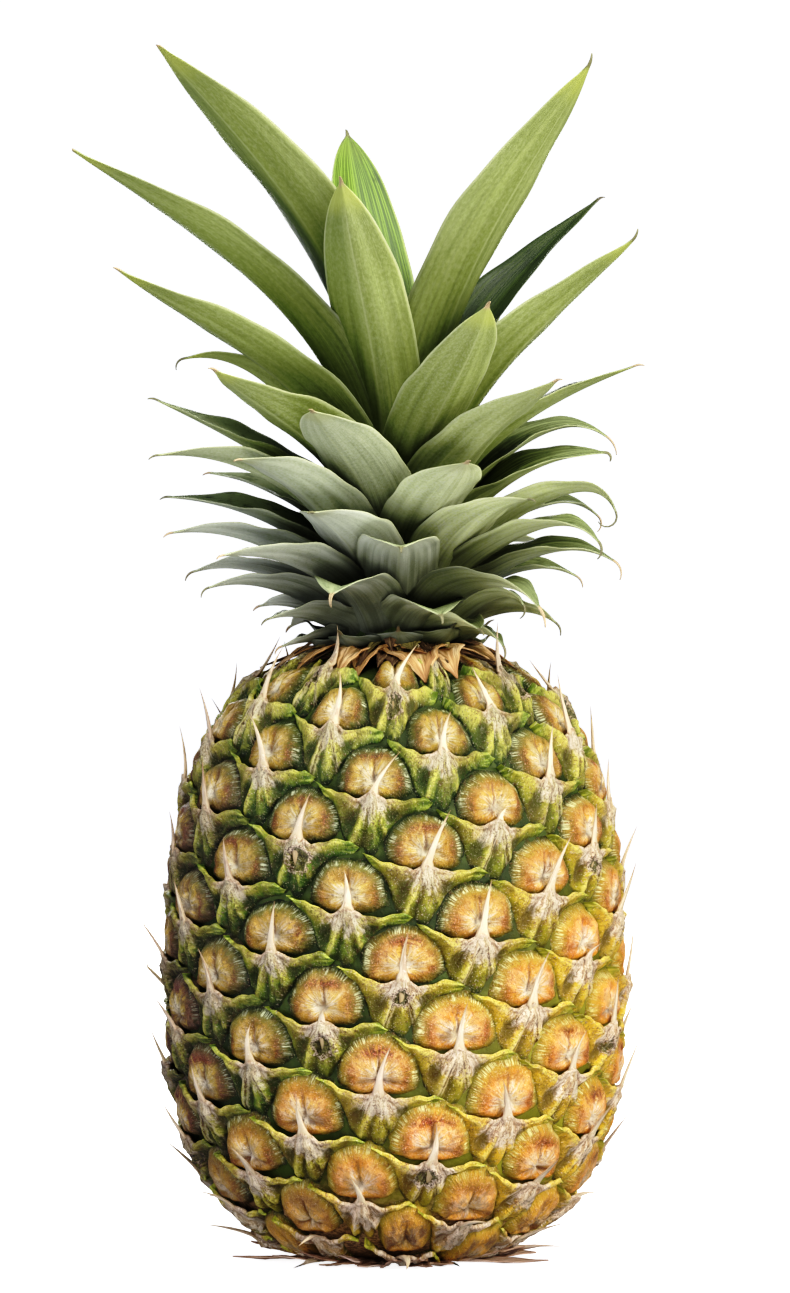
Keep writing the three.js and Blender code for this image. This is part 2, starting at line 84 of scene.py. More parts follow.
class Meridian:
    """The fruit's outline under its eyes, indexed by how many eyes lie below."""

    def __init__(self, steps=2400):
        k = np.arange(steps + 1)
        z = BASE_Z + (SHOULDER_Z - BASE_Z) * (0.5 - 0.5 * np.cos(math.pi * k / steps))
        low = z < WIDEST_Z
        reach = np.where(low, LOWER_REACH, UPPER_REACH)
        power = np.where(low, LOWER_POWER, UPPER_POWER)
        share = np.minimum(1, np.abs(z - WIDEST_Z) / reach)
        r = BODY_RADIUS * (1 - share ** power) ** (1 / power)
        ds = np.hypot(np.diff(r), np.diff(z))
        end = np.abs((z[1:] + z[:-1]) / 2 - MIDDLE_Z) / MIDDLE_Z
        area = EYE_AREA * (1 - END_SHRINK * end ** 3)
        count = np.concatenate([[0], np.cumsum(math.pi * (r[1:] + r[:-1]) * ds / area)])
        self.count = count - count[np.argmax(z >= FIRST_Z)]
        self.z, self.r = z, r
        dr, dz = np.gradient(r), np.gradient(z)
        length = np.hypot(dr, dz)
        self.out, self.up = dz / length, -dr / length

    def at(self, count):
        return {k: np.interp(count, self.count, getattr(self, k)) for k in ("r", "z", "out", "up")}


MERIDIAN = Meridian()
# Azimuth, in degrees, from an eye to the ones numbered 8 and 13 higher.
STEP_8 = (8 * DIVERGENCE + 180) % 360 - 180
STEP_13 = (13 * DIVERGENCE + 180) % 360 - 180


def on_lattice(number, right, up):
    """The place on the skin at (right, up) mm from the spine root of an eye."""
    det = PITCH[0] * COUNTER_PITCH[1] - COUNTER_PITCH[0] * PITCH[1]
    a = (right * COUNTER_PITCH[1] - up * COUNTER_PITCH[0]) / det
    b = (up * PITCH[0] - right * PITCH[1]) / det
    spot = MERIDIAN.at(number + 8 * a + 13 * b)
    spot["azimuth"] = (FIRST_AZIMUTH + number * DIVERGENCE + a * STEP_8 + b * STEP_13) * RAD
    return spot


def place(spot, height):
    r = spot["r"] + spot["out"] * height
    z = np.maximum(spot["z"] + spot["up"] * height, BASE_Z)
    return np.stack([r * np.sin(spot["azimuth"]), -r * np.cos(spot["azimuth"]), z], -1)


def eye_numbers():
    n = np.arange(math.ceil(MERIDIAN.count[0]), MERIDIAN.count[-1])
    spot = MERIDIAN.at(n)
    inner = np.where(spot["z"] < WIDEST_Z, LOWEST_EYE_RADIUS, HIGHEST_EYE_RADIUS)
    return n[spot["r"] > inner]


EYES = eye_numbers()
EYE_COUNT = len(EYES)


def per_eye(seed, low=0.0, high=1.0):
    """A random number for each eye, from a stream of its own; multiplies grids of (eye, row, column)."""
    return np.random.default_rng(seed).uniform(low, high, EYE_COUNT)[:, None, None]


def crumple(x, y, seed, wavelengths=(9.0, 5.4, 3.3)):
    """Soft folds in mm over every eye's own (x, y), about 1 high."""
    total = 0
    for k, wavelength in enumerate(wavelengths):
        heading, phase, bend = (per_eye(seed + 3 * k + i, 0, 2 * math.pi) for i in range(3))
        along = x * np.cos(heading) + y * np.sin(heading)
        beside = y * np.cos(heading) - x * np.sin(heading)
        wave = np.sin(2 * math.pi * along / wavelength + phase + 1.3 * np.sin(0.45 * beside + bend))
        total = total + wave * wavelength / wavelengths[0]
    return total / 2


# ------------------------------------------------------------- mesh helpers
def grid_faces(rows, columns, closed=False):
    """Quads of a grid; a closed grid joins its last column to its first."""
    i, j = np.meshgrid(np.arange(rows - 1), np.arange(columns if closed else columns - 1), indexing="ij")
    k = (j + 1) % columns
    quads = np.stack([i * columns + j, i * columns + k, (i + 1) * columns + k, (i + 1) * columns + j], -1)
    return [tuple(q) for q in quads.reshape(-1, 4).tolist()]


def capped(rings):
    """Points and faces of rings about the Z axis, closed at both ends by a point."""
    rows, sides = rings.shape[:2]
    count, last = rows * sides, (rows - 1) * sides
    faces = grid_faces(rows, sides, closed=True)
    for j in range(sides):
        k = (j + 1) % sides
        faces.append((count, k, j))
        faces.append((count + 1, last + j, last + k))
    ends = [[0, 0, rings[0, 0, 2]], [0, 0, rings[-1, 0, 2]]]
    return np.concatenate([rings.reshape(-1, 3), ends]), faces


def shell_faces(rings, columns, flip=False):
    """Faces of two grids, one behind the other, joined all round their edge."""
    size, last, end = rings * columns, columns - 1, (rings - 1) * columns
    near = grid_faces(rings, columns)
    turned = [face[::-1] for face in near]
    rim = []
    for i in range(rings - 1):
        a, b = i * columns, (i + 1) * columns
        rim.append((a, b, b + size, a + size))
        rim.append((a + last, a + last + size, b + last + size, b + last))
    for j in range(last):
        rim.append((j, j + size, j + 1 + size, j + 1))
        rim.append((end + j, end + j + 1, end + j + 1 + size, end + j + size))
    if flip:
        near, turned = turned, near
        rim = [face[:1] + face[:0:-1] for face in rim]
    return near + [tuple(v + size for v in face) for face in turned] + rim


def repeat_faces(faces, count, size):
    """The faces of one item, for each of a row of equal items with this many points."""
    return [tuple(v + k * size for v in f) for k in range(count) for f in faces]


def piece(name, points, faces, material, node, attributes):
    """A mesh, given in mm, that rides on the root body; the material reads the attributes."""
    mesh = bpy.data.meshes.new(name)
    mesh.from_pydata((points.reshape(-1, 3) * MM).tolist(), [], faces)
    for key, values in attributes.items():
        values = np.broadcast_to(values, points.shape[:-1]).astype(np.float32).ravel()
        mesh.attributes.new(key, "FLOAT", "POINT").data.foreach_set("value", values)
    mesh.polygons.foreach_set("use_smooth", [True] * len(mesh.polygons))
    mesh.materials.append(material)
    mesh.update()
    obj = bpy.data.objects.new(name, mesh)
    bpy.context.scene.collection.objects.link(obj)
    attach(obj, "root")
    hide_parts(node)
    return obj


# ----------------------------------------------------------- shader helpers
def colour(code):
    """Linear RGBA of an sRGB hex code."""
    channels = [int(code[i:i + 2], 16) / 255 for i in (0, 2, 4)]
    return [c / 12.92 if c <= 0.04045 else ((c + 0.055) / 1.055) ** 2.4 for c in channels] + [1.0]


class Shader:
    """A procedural material. Arguments are sockets, numbers, hex colours or (value, low, high) of a step.

    It carries its inputs by name: the values that the mesh stores, and the noises made from them.
    """

    def __init__(self, name, stored=""):
        self.material = bpy.data.materials.new(name)
        self.material.use_nodes = True
        self.tree = self.material.node_tree
        self.bsdf = self.tree.nodes["Principled BSDF"]
        for key in stored.split():
            setattr(self, key, self.node("ShaderNodeAttribute", attribute_name=key).outputs["Fac"])

    def put(self, socket, value):
        if isinstance(value, tuple):
            value = self.step(*value)
        if isinstance(value, bpy.types.NodeSocket):
            self.tree.links.new(value, socket)
        elif isinstance(value, str):
            socket.default_value = colour(value)
        else:
            socket.default_value = value

    def node(self, kind, inputs=(), **settings):
        node = self.tree.nodes.new(kind)
        for key, value in settings.items():
            setattr(node, key, value)
        for key, value in (inputs.items() if isinstance(inputs, dict) else enumerate(inputs)):
            self.put(node.inputs[key], value)
        return node

    def math(self, operation, *values):
        return self.node("ShaderNodeMath", values, operation=operation).outputs[0]

    def abs(self, a):
        return self.math("ABSOLUTE", a)

    def add(self, a, b):
        return self.math("ADD", a, b)

    def mul(self, product, *more):
        for value in more:
            product = self.math("MULTIPLY", product, value)
        return product

    def madd(self, a, b, c):
        return self.math("MULTIPLY_ADD", a, b, c)

    def invert(self, a):
        return self.math("SUBTRACT", 1.0, a)

    def hypotenuse(self, a, b):
        return self.math("SQRT", self.add(self.mul(a, a), self.mul(b, b)))

    def total(self, *terms):
        """The sum of values, each times its amount."""
        result = self.mul(*terms[-1])
        for value, amount in reversed(terms[:-1]):
            result = self.madd(value, amount, result)
        return result

    def jitter(self, value, *noises):
        """The value moved by noises, each about its middle and times its amount."""
        return self.add(value, self.total(*((self.add(noise, -0.5), amount) for noise, amount in noises)))

    def step(self, x, low, high):
        """0 below low, 1 above high, smooth between; low may be the larger."""
        flip = low > high
        if flip:
            low, high = high, low
        inputs = {"Value": x, "From Min": low, "From Max": high}
        out = self.node("ShaderNodeMapRange", inputs, interpolation_type="SMOOTHSTEP").outputs[0]
        return self.invert(out) if flip else out

    def near(self, x, centre, width):
        """1 where x is at the centre, falling to 0 at the width."""
        distance = self.abs(self.math("SUBTRACT", x, centre))
        return self.step(distance, width, 0.0)

    def chosen(self, spread, share):
        """1 on the eyes whose spread seed has a fraction above the share, 0 on the others."""
        return self.step(self.math("FRACT", self.mul(self.seed, spread)), share, share + 0.1)

    def vector(self, x, y, z=0.0):
        return self.node("ShaderNodeCombineXYZ", (x, y, z)).outputs[0]

    def noise(self, vector, scale=1.0, detail=2.0, rough=0.5, warp=0.0):
        inputs = {"Vector": vector, "Scale": scale, "Detail": detail, "Roughness": rough,
                  "Distortion": warp}
        return self.node("ShaderNodeTexNoise", inputs).outputs[0]

    def streaks(self, *axes, **settings):
        """Noise over three values, each stretched by its own scale."""
        return self.noise(self.vector(*(self.mul(value, scale) for value, scale in axes)), **settings)

    def mix(self, factor, a, b):
        node = self.node("ShaderNodeMix", data_type="RGBA", blend_type="MIX")
        self.put(node.inputs[0], factor)
        self.put(node.inputs[6], a)
        self.put(node.inputs[7], b)
        return node.outputs[2]

    def coat(self, strength, tone, *masks):
        """Lay a tone on the base colour where all masks are 1; two tones are unripe and ripe."""
        if isinstance(tone, tuple):
            tone = self.mix(self.ripe, *tone)
        self.base = self.mix(self.mul(*masks, strength), self.base, tone)

    def ramp(self, factor, stops):
        node = self.node("ShaderNodeValToRGB", (factor,))
        elements = node.color_ramp.elements
        while len(elements) < len(stops):
            elements.new(0.5)
        for element, (position, code) in zip(elements, stops):
            element.position = position
            element.color = colour(code)
        return node.outputs[0]

    def bump(self, height, strength, distance):
        inputs = {"Height": height, "Strength": strength, "Distance": distance}
        return self.node("ShaderNodeBump", inputs).outputs[0]

    def finish(self, roughness, normal=None, **constants):
        self.put(self.bsdf.inputs["Base Color"], self.base)
        self.put(self.bsdf.inputs["Roughness"], roughness)
        if normal is not None:
            self.put(self.bsdf.inputs["Normal"], normal)
        for key, value in constants.items():
            self.bsdf.inputs[key.replace("_", " ")].default_value = value
        return self.material


# ---------------------------------------------------------------- materials
def skin_noises(s, cloud, patch, grain, speck):
    """Noises over an eye in mm, by scale: broad clouds, torn patches, grain and fine specks."""
    local = s.vector(s.right, s.up, s.mul(s.seed, 90.0))
    s.cloud = s.noise(local, cloud, 3.0, 0.6)
    s.patch = s.noise(s.vector(s.right, s.up, s.madd(s.seed, 60.0, 5.0)), patch, 4.0, 0.66, 0.7)
    s.grain = s.noise(local, grain, 5.0, 0.7)
    s.speck = s.noise(local, speck, 2.0, 0.6)


def disc_ground(s):
    """Rings of colour from the pale pit to the green or yellow rim, with clouds."""
    warped = s.jitter(s.rho, (s.patch, 0.5), (s.rays, 0.6))
    unripe = s.ramp(warped, [(0.07, "efe6c4"), (0.17, "d6bf7c"), (0.29, "bd9e3c"), (0.43, "a58428"),
                             (0.6, "8a6e20"), (0.72, "6c6820"), (0.84, "50601c")])
    ripened = s.ramp(warped, [(0.07, "f4e4bc"), (0.17, "e6b868"), (0.29, "e09a2c"), (0.48, "d27e1c"),
                              (0.64, "be6e1c"), (0.76, "b88424"), (0.86, "a8962a")])
    s.base = s.mix(s.ripe, unripe, ripened)
    s.coat(0.6, "ea9420", (s.ripe, 0.76, 0.95), (warped, 0.15, 0.4))
    s.coat(0.55, ("8e7c2c", "d29c34"), (s.cloud, 0.48, 0.62))
    s.coat(0.6, ("74501e", "ac5c20"), (s.cloud, 0.44, 0.32))


def disc_lobes(s):
    """Pale lobes and streaks beside the spine, and painted shade in the low places of the folds; gives back
    where the lobes are.
    """
    lobe_x = s.math("DIVIDE", s.add(s.abs(s.right), -3.8), 3.9)
    lobe_y = s.math("DIVIDE", s.add(s.up, -6.0), 4.2)
    lobe = s.jitter(s.hypotenuse(lobe_x, lobe_y), (s.rays, 2.2), (s.patch, 4.2))
    lobe = s.mul((lobe, 1.35, 0.35), (s.grain, 0.25, 0.5))
    s.coat(s.madd(s.ripe, 0.12, 0.12), ("c8b67c", "e8d3a4"), lobe)
    s.coat(0.75, ("e2d8ba", "f4e6c8"), (s.rays, 0.47, 0.57),
           (s.jitter(s.rho, (s.patch, 0.5)), 0.58, 0.16))
    # Painted shade: browner where the folds sink.
    s.coat(0.4, ("55401c", "8f5f2c"), (s.relief, 0.0, -0.9))
    return lobe


def disc_marks(s):
    """The brown seam and creases, and red-brown blotches at the ends or the crest."""
    s.coat(0.7, "6f4424", s.near(s.jitter(s.right, (s.patch, 2.5)), 0.0, 0.9),
           (s.up, 3.0, 5.0), (s.up, 13.0, 9.0))
    s.coat(0.8, s.mix((s.grain, 0.4, 0.6), "4a2814", "8a5630"), s.crease)
    ends = s.mul((s.abs(s.right), 6.0, 9.0), (s.up, 10.0, 5.5), (s.patch, 0.37, 0.48))
    crest = s.mul((s.up, 8.0, 10.5), s.chosen(7.0, 0.4), (s.patch, 0.38, 0.52))
    s.coat(0.92, s.mix((s.speck, 0.4, 0.6), "451c12", "8c2e16"), s.math("MAXIMUM", ends, crest),
           (s.rho, 0.86, 0.76), (s.ticks, 0.25, 0.5))


def disc_rim(s):
    """The green rim, mustard on parched eyes, a dark ring round it that is partly its own green and partly
    painted groove shade, and pale hairs across it.
    """
    jagged = s.jitter(s.rho, (s.ticks, 0.22), (s.patch, 0.16))
    s.coat(0.8, ("4a5220", "b4922e"), (jagged, 0.52, 0.78))
    mustard = s.mul(s.parched, (jagged, 0.8, 0.6))
    s.coat(0.6, s.mix((s.patch, 0.4, 0.6), "8a6630", "c89c40"), mustard)
    s.coat(0.7, "5a4234", mustard, (s.cloud, 0.5, 0.62))
    # Dark green ring and near-black edge: the skin's green with painted shade where the disc falls into the
    # groove.
    s.coat(0.9, s.mix((s.ripe, 0.45, 1.0), "26340d", "86781f"), (jagged, 0.72, 0.88))
    s.coat(1.0, s.mix((s.ripe, 0.5, 1.0), "131c08", "4c4c16"),
           (s.jitter(s.rho, (s.patch, 0.14)), 0.88, 0.97))
    s.coat(0.85, ("d0d6aa", "e6de8e"), (s.rho, 0.69, 0.74), (jagged, 0.9, 0.84),
           (s.ticks, 0.5, 0.57), (s.dir_y, -0.5, 0.0), (s.patch, 0.4, 0.58),
           s.invert(s.parched))


def disc_material():
    s = Shader("eye_disc", "right up rho dir_x dir_y seed ripe shade relief crease parched")
    skin_noises(s, 0.15, 0.3, 1.0, 2.4)
    ray_layer = s.total((s.seed, 40.0), (s.rho, 3.0))
    s.rays = s.streaks((s.dir_x, 7.0), (s.dir_y, 7.0), (ray_layer, 1.0), detail=4.0, rough=0.6, warp=0.3)
    tick_layer = s.total((s.seed, 70.0), (s.rho, 2.0))
    s.ticks = s.streaks((s.dir_x, 27.0), (s.dir_y, 27.0), (tick_layer, 1.0))
    disc_ground(s)
    lobe = disc_lobes(s)
    disc_marks(s)
    disc_rim(s)
    s.coat(0.55, ("46301a", "7e4620"), (s.grain, 0.53, 0.64))
    s.coat(0.32, ("d6caa0", "f2e2b6"), (s.speck, 0.58, 0.68))
    # Purple-brown on the left flank: partly the skin's own tone, partly painted shade.
    s.coat(0.9, s.mix((s.grain, 0.4, 0.58), "3f2c22", "6b5040"), s.shade, (lobe, 0.9, 0.1))
    height = s.total((s.rays, 1.2), (s.ticks, 0.6), (s.grain, 1.6), (s.speck, 0.6))
    return s.finish(s.madd(s.grain, 0.4, 0.3), s.bump(height, 0.8, 0.0008), Specular_IOR_Level=0.45)


def bract_ground(s):
    """Pale at the spine's foot to dark green at the edge; golden where ripe, light on the shoulder; painted
    shade in the hollows and a painted highlight on the ridges.
    """
    edge = s.math("MAXIMUM", s.down, s.madd(s.side, 1.1, -0.3))
    edge = s.jitter(edge, (s.patch, 0.9), (s.rays, 0.4))
    green = s.ramp(edge, [(0.05, "c0ac68"), (0.24, "a8a044"), (0.42, "88902e"), (0.62, "587224"),
                          (0.84, "2c4014")])
    gold = s.ramp(edge, [(0.05, "e8c680"), (0.28, "dcb648"), (0.5, "cca832"), (0.75, "b4a028"),
                         (0.95, "888c26")])
    s.base = s.mix(s.ripe, green, gold)
    s.coat(0.75, "ecba38", (s.ripe, 0.76, 0.95), (edge, 1.2, 0.7))
    s.coat(0.6, "c8be5e", s.high, (edge, 0.9, 0.5))
    # Painted shade in the hollows between keel and legs, painted highlight on the ridges.
    s.coat(0.85, ("324716", "7c661a"), (s.relief, 0.25, -0.7))
    s.coat(0.8, ("cac65c", "ead268"), (s.relief, 0.3, 1.1))
    s.coat(0.55, ("575023", "9c7c30"), (s.cloud, 0.5, 0.62))


def bract_paper(s):
    """Dry papery fibres that fan out under the spine; gives back where the bract is dry."""
    fan = s.hypotenuse(s.mul(s.right, 0.16), s.mul(s.add(s.up, 2.4), 0.2))
    fan = s.add(s.jitter(fan, (s.rays, -1.0), (s.patch, 2.2)), s.total((s.ripe, -0.4), (s.parched, -1.0)))
    dry = s.step(fan, 1.05, 0.45)
    dark, light = s.mix(s.ripe, "9c8c6a", "ba9672"), s.mix(s.ripe, "cec2a6", "ecdabe")
    s.coat(0.8, s.mix((s.rays, 0.36, 0.6), dark, light), dry)
    return dry


def bract_marks(s):
    """Cracks along the fibres, split legs, stains and the crusted rim of a torn hollow."""
    s.coat(0.85, "5a3620", s.near(s.rays, 0.44, 0.034), (s.radius, 1.5, 3.5),
           (s.radius, 13.5, 8.0), (s.patch, 0.36, 0.5))
    left, right = (s.abs(s.add(s.right, s.mul(s.up, slope))) for slope in (0.3, -0.4))
    leg = s.jitter(s.math("MINIMUM", right, left), (s.patch, 2.2))
    legs = s.mul((s.up, -14.5, -11.5), (s.up, -1.5, -4.5), s.chosen(5.0, 0.5))
    s.coat(0.5, ("c6b78a", "e0cba0"), s.near(leg, 0.55, 0.5), legs)
    s.coat(0.85, "4c2f1a", s.near(leg, 0.0, 0.32), legs)
    s.coat(0.85, ("553a20", "744220"), (s.grain, 0.54, 0.63), (s.patch, 0.4, 0.55))
    s.coat(0.9, s.mix((s.speck, 0.42, 0.56), "4e2c1c", "d0ba9c"), s.near(s.torn, 1.0, 0.24))
    s.coat(0.9, s.mix((s.grain, 0.42, 0.6), "36331a", "66642e"), (s.torn, 0.9, 0.76))
    s.coat(0.7, s.mix((s.grain, 0.4, 0.6), "6a4628", "b0884e"), s.parched, (s.patch, 0.42, 0.6))


def bract_edges(s, dry):
    """Striped wing tips, a dark lower edge that is partly the bract's green and partly painted groove
    shade, and the dry rim of the upper edge with a brown line of painted shadow under it.
    """
    stripes = s.step(s.streaks((s.right, 0.25), (s.up, 1.6), (s.seed, 60.0)), 0.42, 0.62)
    tipped = s.mix(stripes, s.mix(s.ripe, "547222", "8e962a"), s.mix(s.ripe, "acbc50", "d0c854"))
    s.coat(0.85, tipped, (s.side, 0.7, 0.92), (dry, 0.6, 0.1))
    # Near-black lower edge: the bract's green with painted shade where it meets the groove.
    s.coat(0.9, s.mix((s.ripe, 0.55, 1.0), "18240b", "4e5018"),
           (s.jitter(s.down, (s.patch, 0.3)), 0.8, 0.96))
    s.coat(0.42, ("dad2ac", "f6eac6"), (s.speck, 0.6, 0.68))
    s.coat(0.55, ("363216", "6c5822"), (s.grain, 0.46, 0.36))
    # Painted shadow: a brown line under the folded dry rim.
    s.coat(0.6, "6b4a2c", s.near(s.down, 0.07, 0.06), (s.side, 0.6, 0.4),
           (s.side, 0.08, 0.16), (s.grain, 0.4, 0.55))
    s.coat(0.85, s.mix((s.grain, 0.4, 0.6), "a98a66", "dcc8a6"), (s.lip, 0.35, 0.8),
           (s.jitter(s.side, (s.patch, 0.4)), 0.4, 0.22))


def bract_material():
    s = Shader("eye_bract", "right up across down seed ripe lip shade scar relief parched high")
    skin_noises(s, 0.16, 0.32, 1.1, 2.2)
    s.side, s.radius = s.abs(s.across), s.hypotenuse(s.right, s.up)
    angle = s.math("ARCTANGENT", s.math("DIVIDE", s.right, s.math("SUBTRACT", 3.0, s.up)))
    angle = s.jitter(angle, (s.patch, 0.35))
    s.rays = s.streaks((angle, 11.0), (s.radius, 0.16), (s.seed, 60.0), detail=4.0, rough=0.62)
    s.torn = s.jitter(s.scar, (s.patch, 2.2), (s.grain, 0.8))
    bract_ground(s)
    dry = bract_paper(s)
    bract_marks(s)
    bract_edges(s, dry)
    # Purple-brown on the left flank: partly the skin's own tone, partly painted shade.
    s.coat(0.6, s.mix((s.grain, 0.4, 0.58), "46352a", "7d6850"), s.shade)
    # Painted shade: darker in the deepest hollows.
    s.coat(0.55, ("2a3314", "5e4c20"), (s.relief, -0.2, -1.3))
    height = s.total((s.rays, 2.2), (s.grain, 1.6), (s.speck, 0.6), (s.near(s.torn, 1.0, 0.3), 1.0))
    return s.finish(s.madd(s.grain, 0.4, 0.32), s.bump(height, 0.85, 0.0008), Specular_IOR_Level=0.4)


def rind_material():
    s = Shader("rind", "px py pz ripe")
    s.ripe = s.step(s.ripe, 0.45, 0.95)
    place_mm = s.vector(s.px, s.py, s.pz)
    cloud = s.noise(place_mm, 0.07, 3.0, 0.6)
    grain = s.noise(place_mm, 0.9, 4.0, 0.65)
    s.base = s.mix(s.ripe, "26300a", "5e5c18")
    s.coat(1.0, ("3c4819", "7c7826"), (cloud, 0.45, 0.65))
    s.coat(0.5, "4a3a1c", (grain, 0.55, 0.75))
    dry = s.step(s.jitter(s.pz, (cloud, 20.0)), 34.0, 6.0)
    s.coat(0.9, s.mix((grain, 0.4, 0.6), "6a4c30", "b08e66"), dry)
    return s.finish(0.6, s.bump(grain, 0.5, 0.0008), Specular_IOR_Level=0.3)


def spine_material():
    s = Shader("dry_spine", "along turn seed edge")
    fibre = s.streaks((s.turn, 2.0), (s.along, 2.2), (s.seed, 60.0), detail=4.0, rough=0.65, warp=0.3)
    grain = s.streaks((s.turn, 6.0), (s.along, 14.0), (s.seed, 80.0), detail=3.0, rough=0.7)
    s.base = s.ramp(s.jitter(s.along, (fibre, 0.5)),
                    [(0.0, "a39062"), (0.2, "b6a174"), (0.4, "c0ae86"), (0.62, "cfc09c"),
                     (0.86, "ccb88e"), (1.0, "9a7c56")])
    s.coat(0.6, "8c6c50", (fibre, 0.53, 0.64))
    s.coat(0.55, "94714e", (s.edge, 0.72, 1.0))
    s.coat(0.45, "f0e4cc", (grain, 0.56, 0.7))
    s.coat(0.35, "a08878", (s.seed, 0.6, 1.0))
    height = s.total((fibre, 1.0), (grain, 0.5))
    return s.finish(0.7, s.bump(height, 0.7, 0.0005), Specular_IOR_Level=0.3)


def leaf_ground(s):
    """Grey-green low down, fresh green above; the inner face is darker and streaked; low leaves on the
    right, toward the key lamp, lighter and yellower as painted light.
    """
    cast, streak = s.step(s.broad, 0.35, 0.65), s.step(s.fine, 0.4, 0.64)
    low = s.mix(cast, "bec4a2", "cfd4b6")
    # Painted light: low leaves on the lit right side turn yellower and lighter.
    low = s.mix(s.mul(s.sunny, 0.85), low, s.mix(cast, "bec876", "dae296"))
    outer = s.mix((s.tier, 0.2, 0.65), low, s.mix(cast, "828d48", "98a25c"))
    low_inside = s.mix(s.sunny, "9aa47a", s.mix(streak, "525c34", "8b9562"))
    inside = s.mix((s.tier, 0.9, 0.6), s.mix(streak, "4c6420", "7f9c38"), low_inside)
    inside = s.mix(s.mul((s.blotch, 0.5, 0.68), 0.6), inside, "283618")
    s.base = s.mix(s.inner, outer, inside)


def leaf_bloom(s):
    """Fine streaks, pale waxy bloom, blotches, a light keel and margin, and a left half darkened as painted
    shade.
    """
    back = s.invert(s.inner)
    s.coat(0.13, s.mix(s.inner, "5f6b3a", "8a9c4c"), (s.fine, 0.48, 0.7))
    s.coat(s.madd((s.tier, 0.8, 0.1), 0.3, 0.14), s.mix((s.tier, 0.3, 0.85), "c9cbb9", "cfd2a0"),
           (s.powder, 0.46, 0.62), back)
    s.coat(0.2, "4b4e28", (s.powder, 0.46, 0.36))
    s.coat(0.12, "47532a", (s.blotch, 0.54, 0.72))
    s.coat(0.35, "c3c891", s.near(s.across, 0.0, 0.045), (s.along, 1.0, 0.85), back)
    # Painted shade on the left half of the upper leaves, away from the key lamp.
    s.coat(0.4, "465a1c", (s.across, 0.12, -0.3), (s.tier, 0.5, 0.8), back, s.invert(s.sunny))
    s.coat(0.5, "c8cc9a", (s.abs(s.across), 0.92, 0.98))


def leaf_ends(s):
    """Yellowish tips with dry points, and painted shade over the root and between its folds."""
    tip = s.jitter(s.along, (s.blotch, 0.06))
    s.coat(s.madd(s.inner, -0.4, 0.5), s.mix((s.tier, 0.3, 0.7), "9a9c6c", "b3ba52"), (tip, 0.88, 0.96))
    s.coat(0.9, s.mix((s.seed, 0.5, 0.7), "6e6a48", "b59c74"), (tip, 0.985, 1.005))
    # Painted shade: leaf roots darkened where the leaves overlap, more so between the folds.
    root = s.jitter(s.madd((s.tier, 0.3, 0.0), -0.3, s.along), (s.broad, 0.25))
    root = s.step(root, 0.74, 0.14)
    folds = s.streaks((s.across, 13.0), (s.along, 1.0), (s.seed, 20.0))
    s.coat(0.36, "27331a", root, (folds, 0.44, 0.66))
    s.coat(s.madd((s.tier, 0.9, 0.2), 0.2, 0.65), s.mix((s.tier, 0.2, 0.6), "33361f", "36431b"), root)
    # Painted shade on whole leaves, set per leaf.
    s.coat(1.0, "1b2410", s.dark)


def leaf_material():
    s = Shader("crown_leaf", "along across inner seed tier sunny dark")
    s.fine = s.streaks((s.across, 22.0), (s.along, 2.2), (s.seed, 80.0), detail=3.0, rough=0.6)
    s.broad = s.streaks((s.across, 4.0), (s.along, 1.6), (s.seed, 50.0))
    s.powder = s.streaks((s.across, 16.0), (s.along, 75.0), (s.seed, 90.0), detail=4.0, rough=0.75)
    s.blotch = s.streaks((s.across, 2.5), (s.along, 9.0), (s.seed, 30.0), detail=4.0, rough=0.66)
    leaf_ground(s)
    leaf_bloom(s)
    leaf_ends(s)
    height = s.total((s.fine, 1.0), (s.powder, 0.6))
    return s.finish(s.madd(s.fine, 0.25, 0.4), s.bump(height, 0.28, 0.0005), Specular_IOR_Level=0.4)


def paper_material(name, dark, middle, light):
    s = Shader(name, "along across seed")
    fibre = s.streaks((s.across, 9.0), (s.along, 1.8), (s.seed, 60.0), detail=4.0, rough=0.62)
    cloud = s.streaks((s.across, 1.5), (s.along, 2.5), (s.seed, 30.0), detail=3.0)
    s.base = s.ramp(s.jitter(fibre, (cloud, 0.7)), [(0.25, dark), (0.5, middle), (0.75, light)])
    s.coat(0.6, dark, (s.along, 0.75, 1.0))
    return s.finish(0.8, s.bump(fibre, 0.7, 0.0006), Specular_IOR_Level=0.2)


# --------------------------------------------------------------- fruit skin
def ripeness(points):
    """0 for the green shoulder, 1 for the golden lower right."""
    x, z = points[..., 0], points[..., 2]
    return smooth(0.02, 1.0, 0.9 - z / 165 + x / 130)


def browned_and_shaded(points):
    """0 on most of the skin, up to 1 on the left flank: partly the skin's own purple-brown, partly painted
    shade on the side away from the key lamp.
    """
    return smooth(0.55, 1.0, -points[..., 0] / 66) * 0.9


RIND_ROWS, RIND_COLUMNS = 130, 180


def rind():
    length = np.concatenate([[0], np.cumsum(np.hypot(np.diff(MERIDIAN.r), np.diff(MERIDIAN.z)))])
    at = np.linspace(0, 1, RIND_ROWS)[:, None] * length[-1]
    azimuth = np.linspace(0, 2 * math.pi, RIND_COLUMNS, endpoint=False)[None, :]
    full = 0 * at + 0 * azimuth
    spot = {key: np.interp(at, length, getattr(MERIDIAN, key)) + full for key in ("r", "z", "out", "up")}
    spot["azimuth"] = azimuth + full
    flat, faces = capped(place(spot, 0.0))
    attributes = {"px": flat[:, 0], "py": flat[:, 1], "pz": flat[:, 2], "ripe": ripeness(flat)}
    return piece("rind", flat, faces, rind_material(), "fruit_body", attributes)


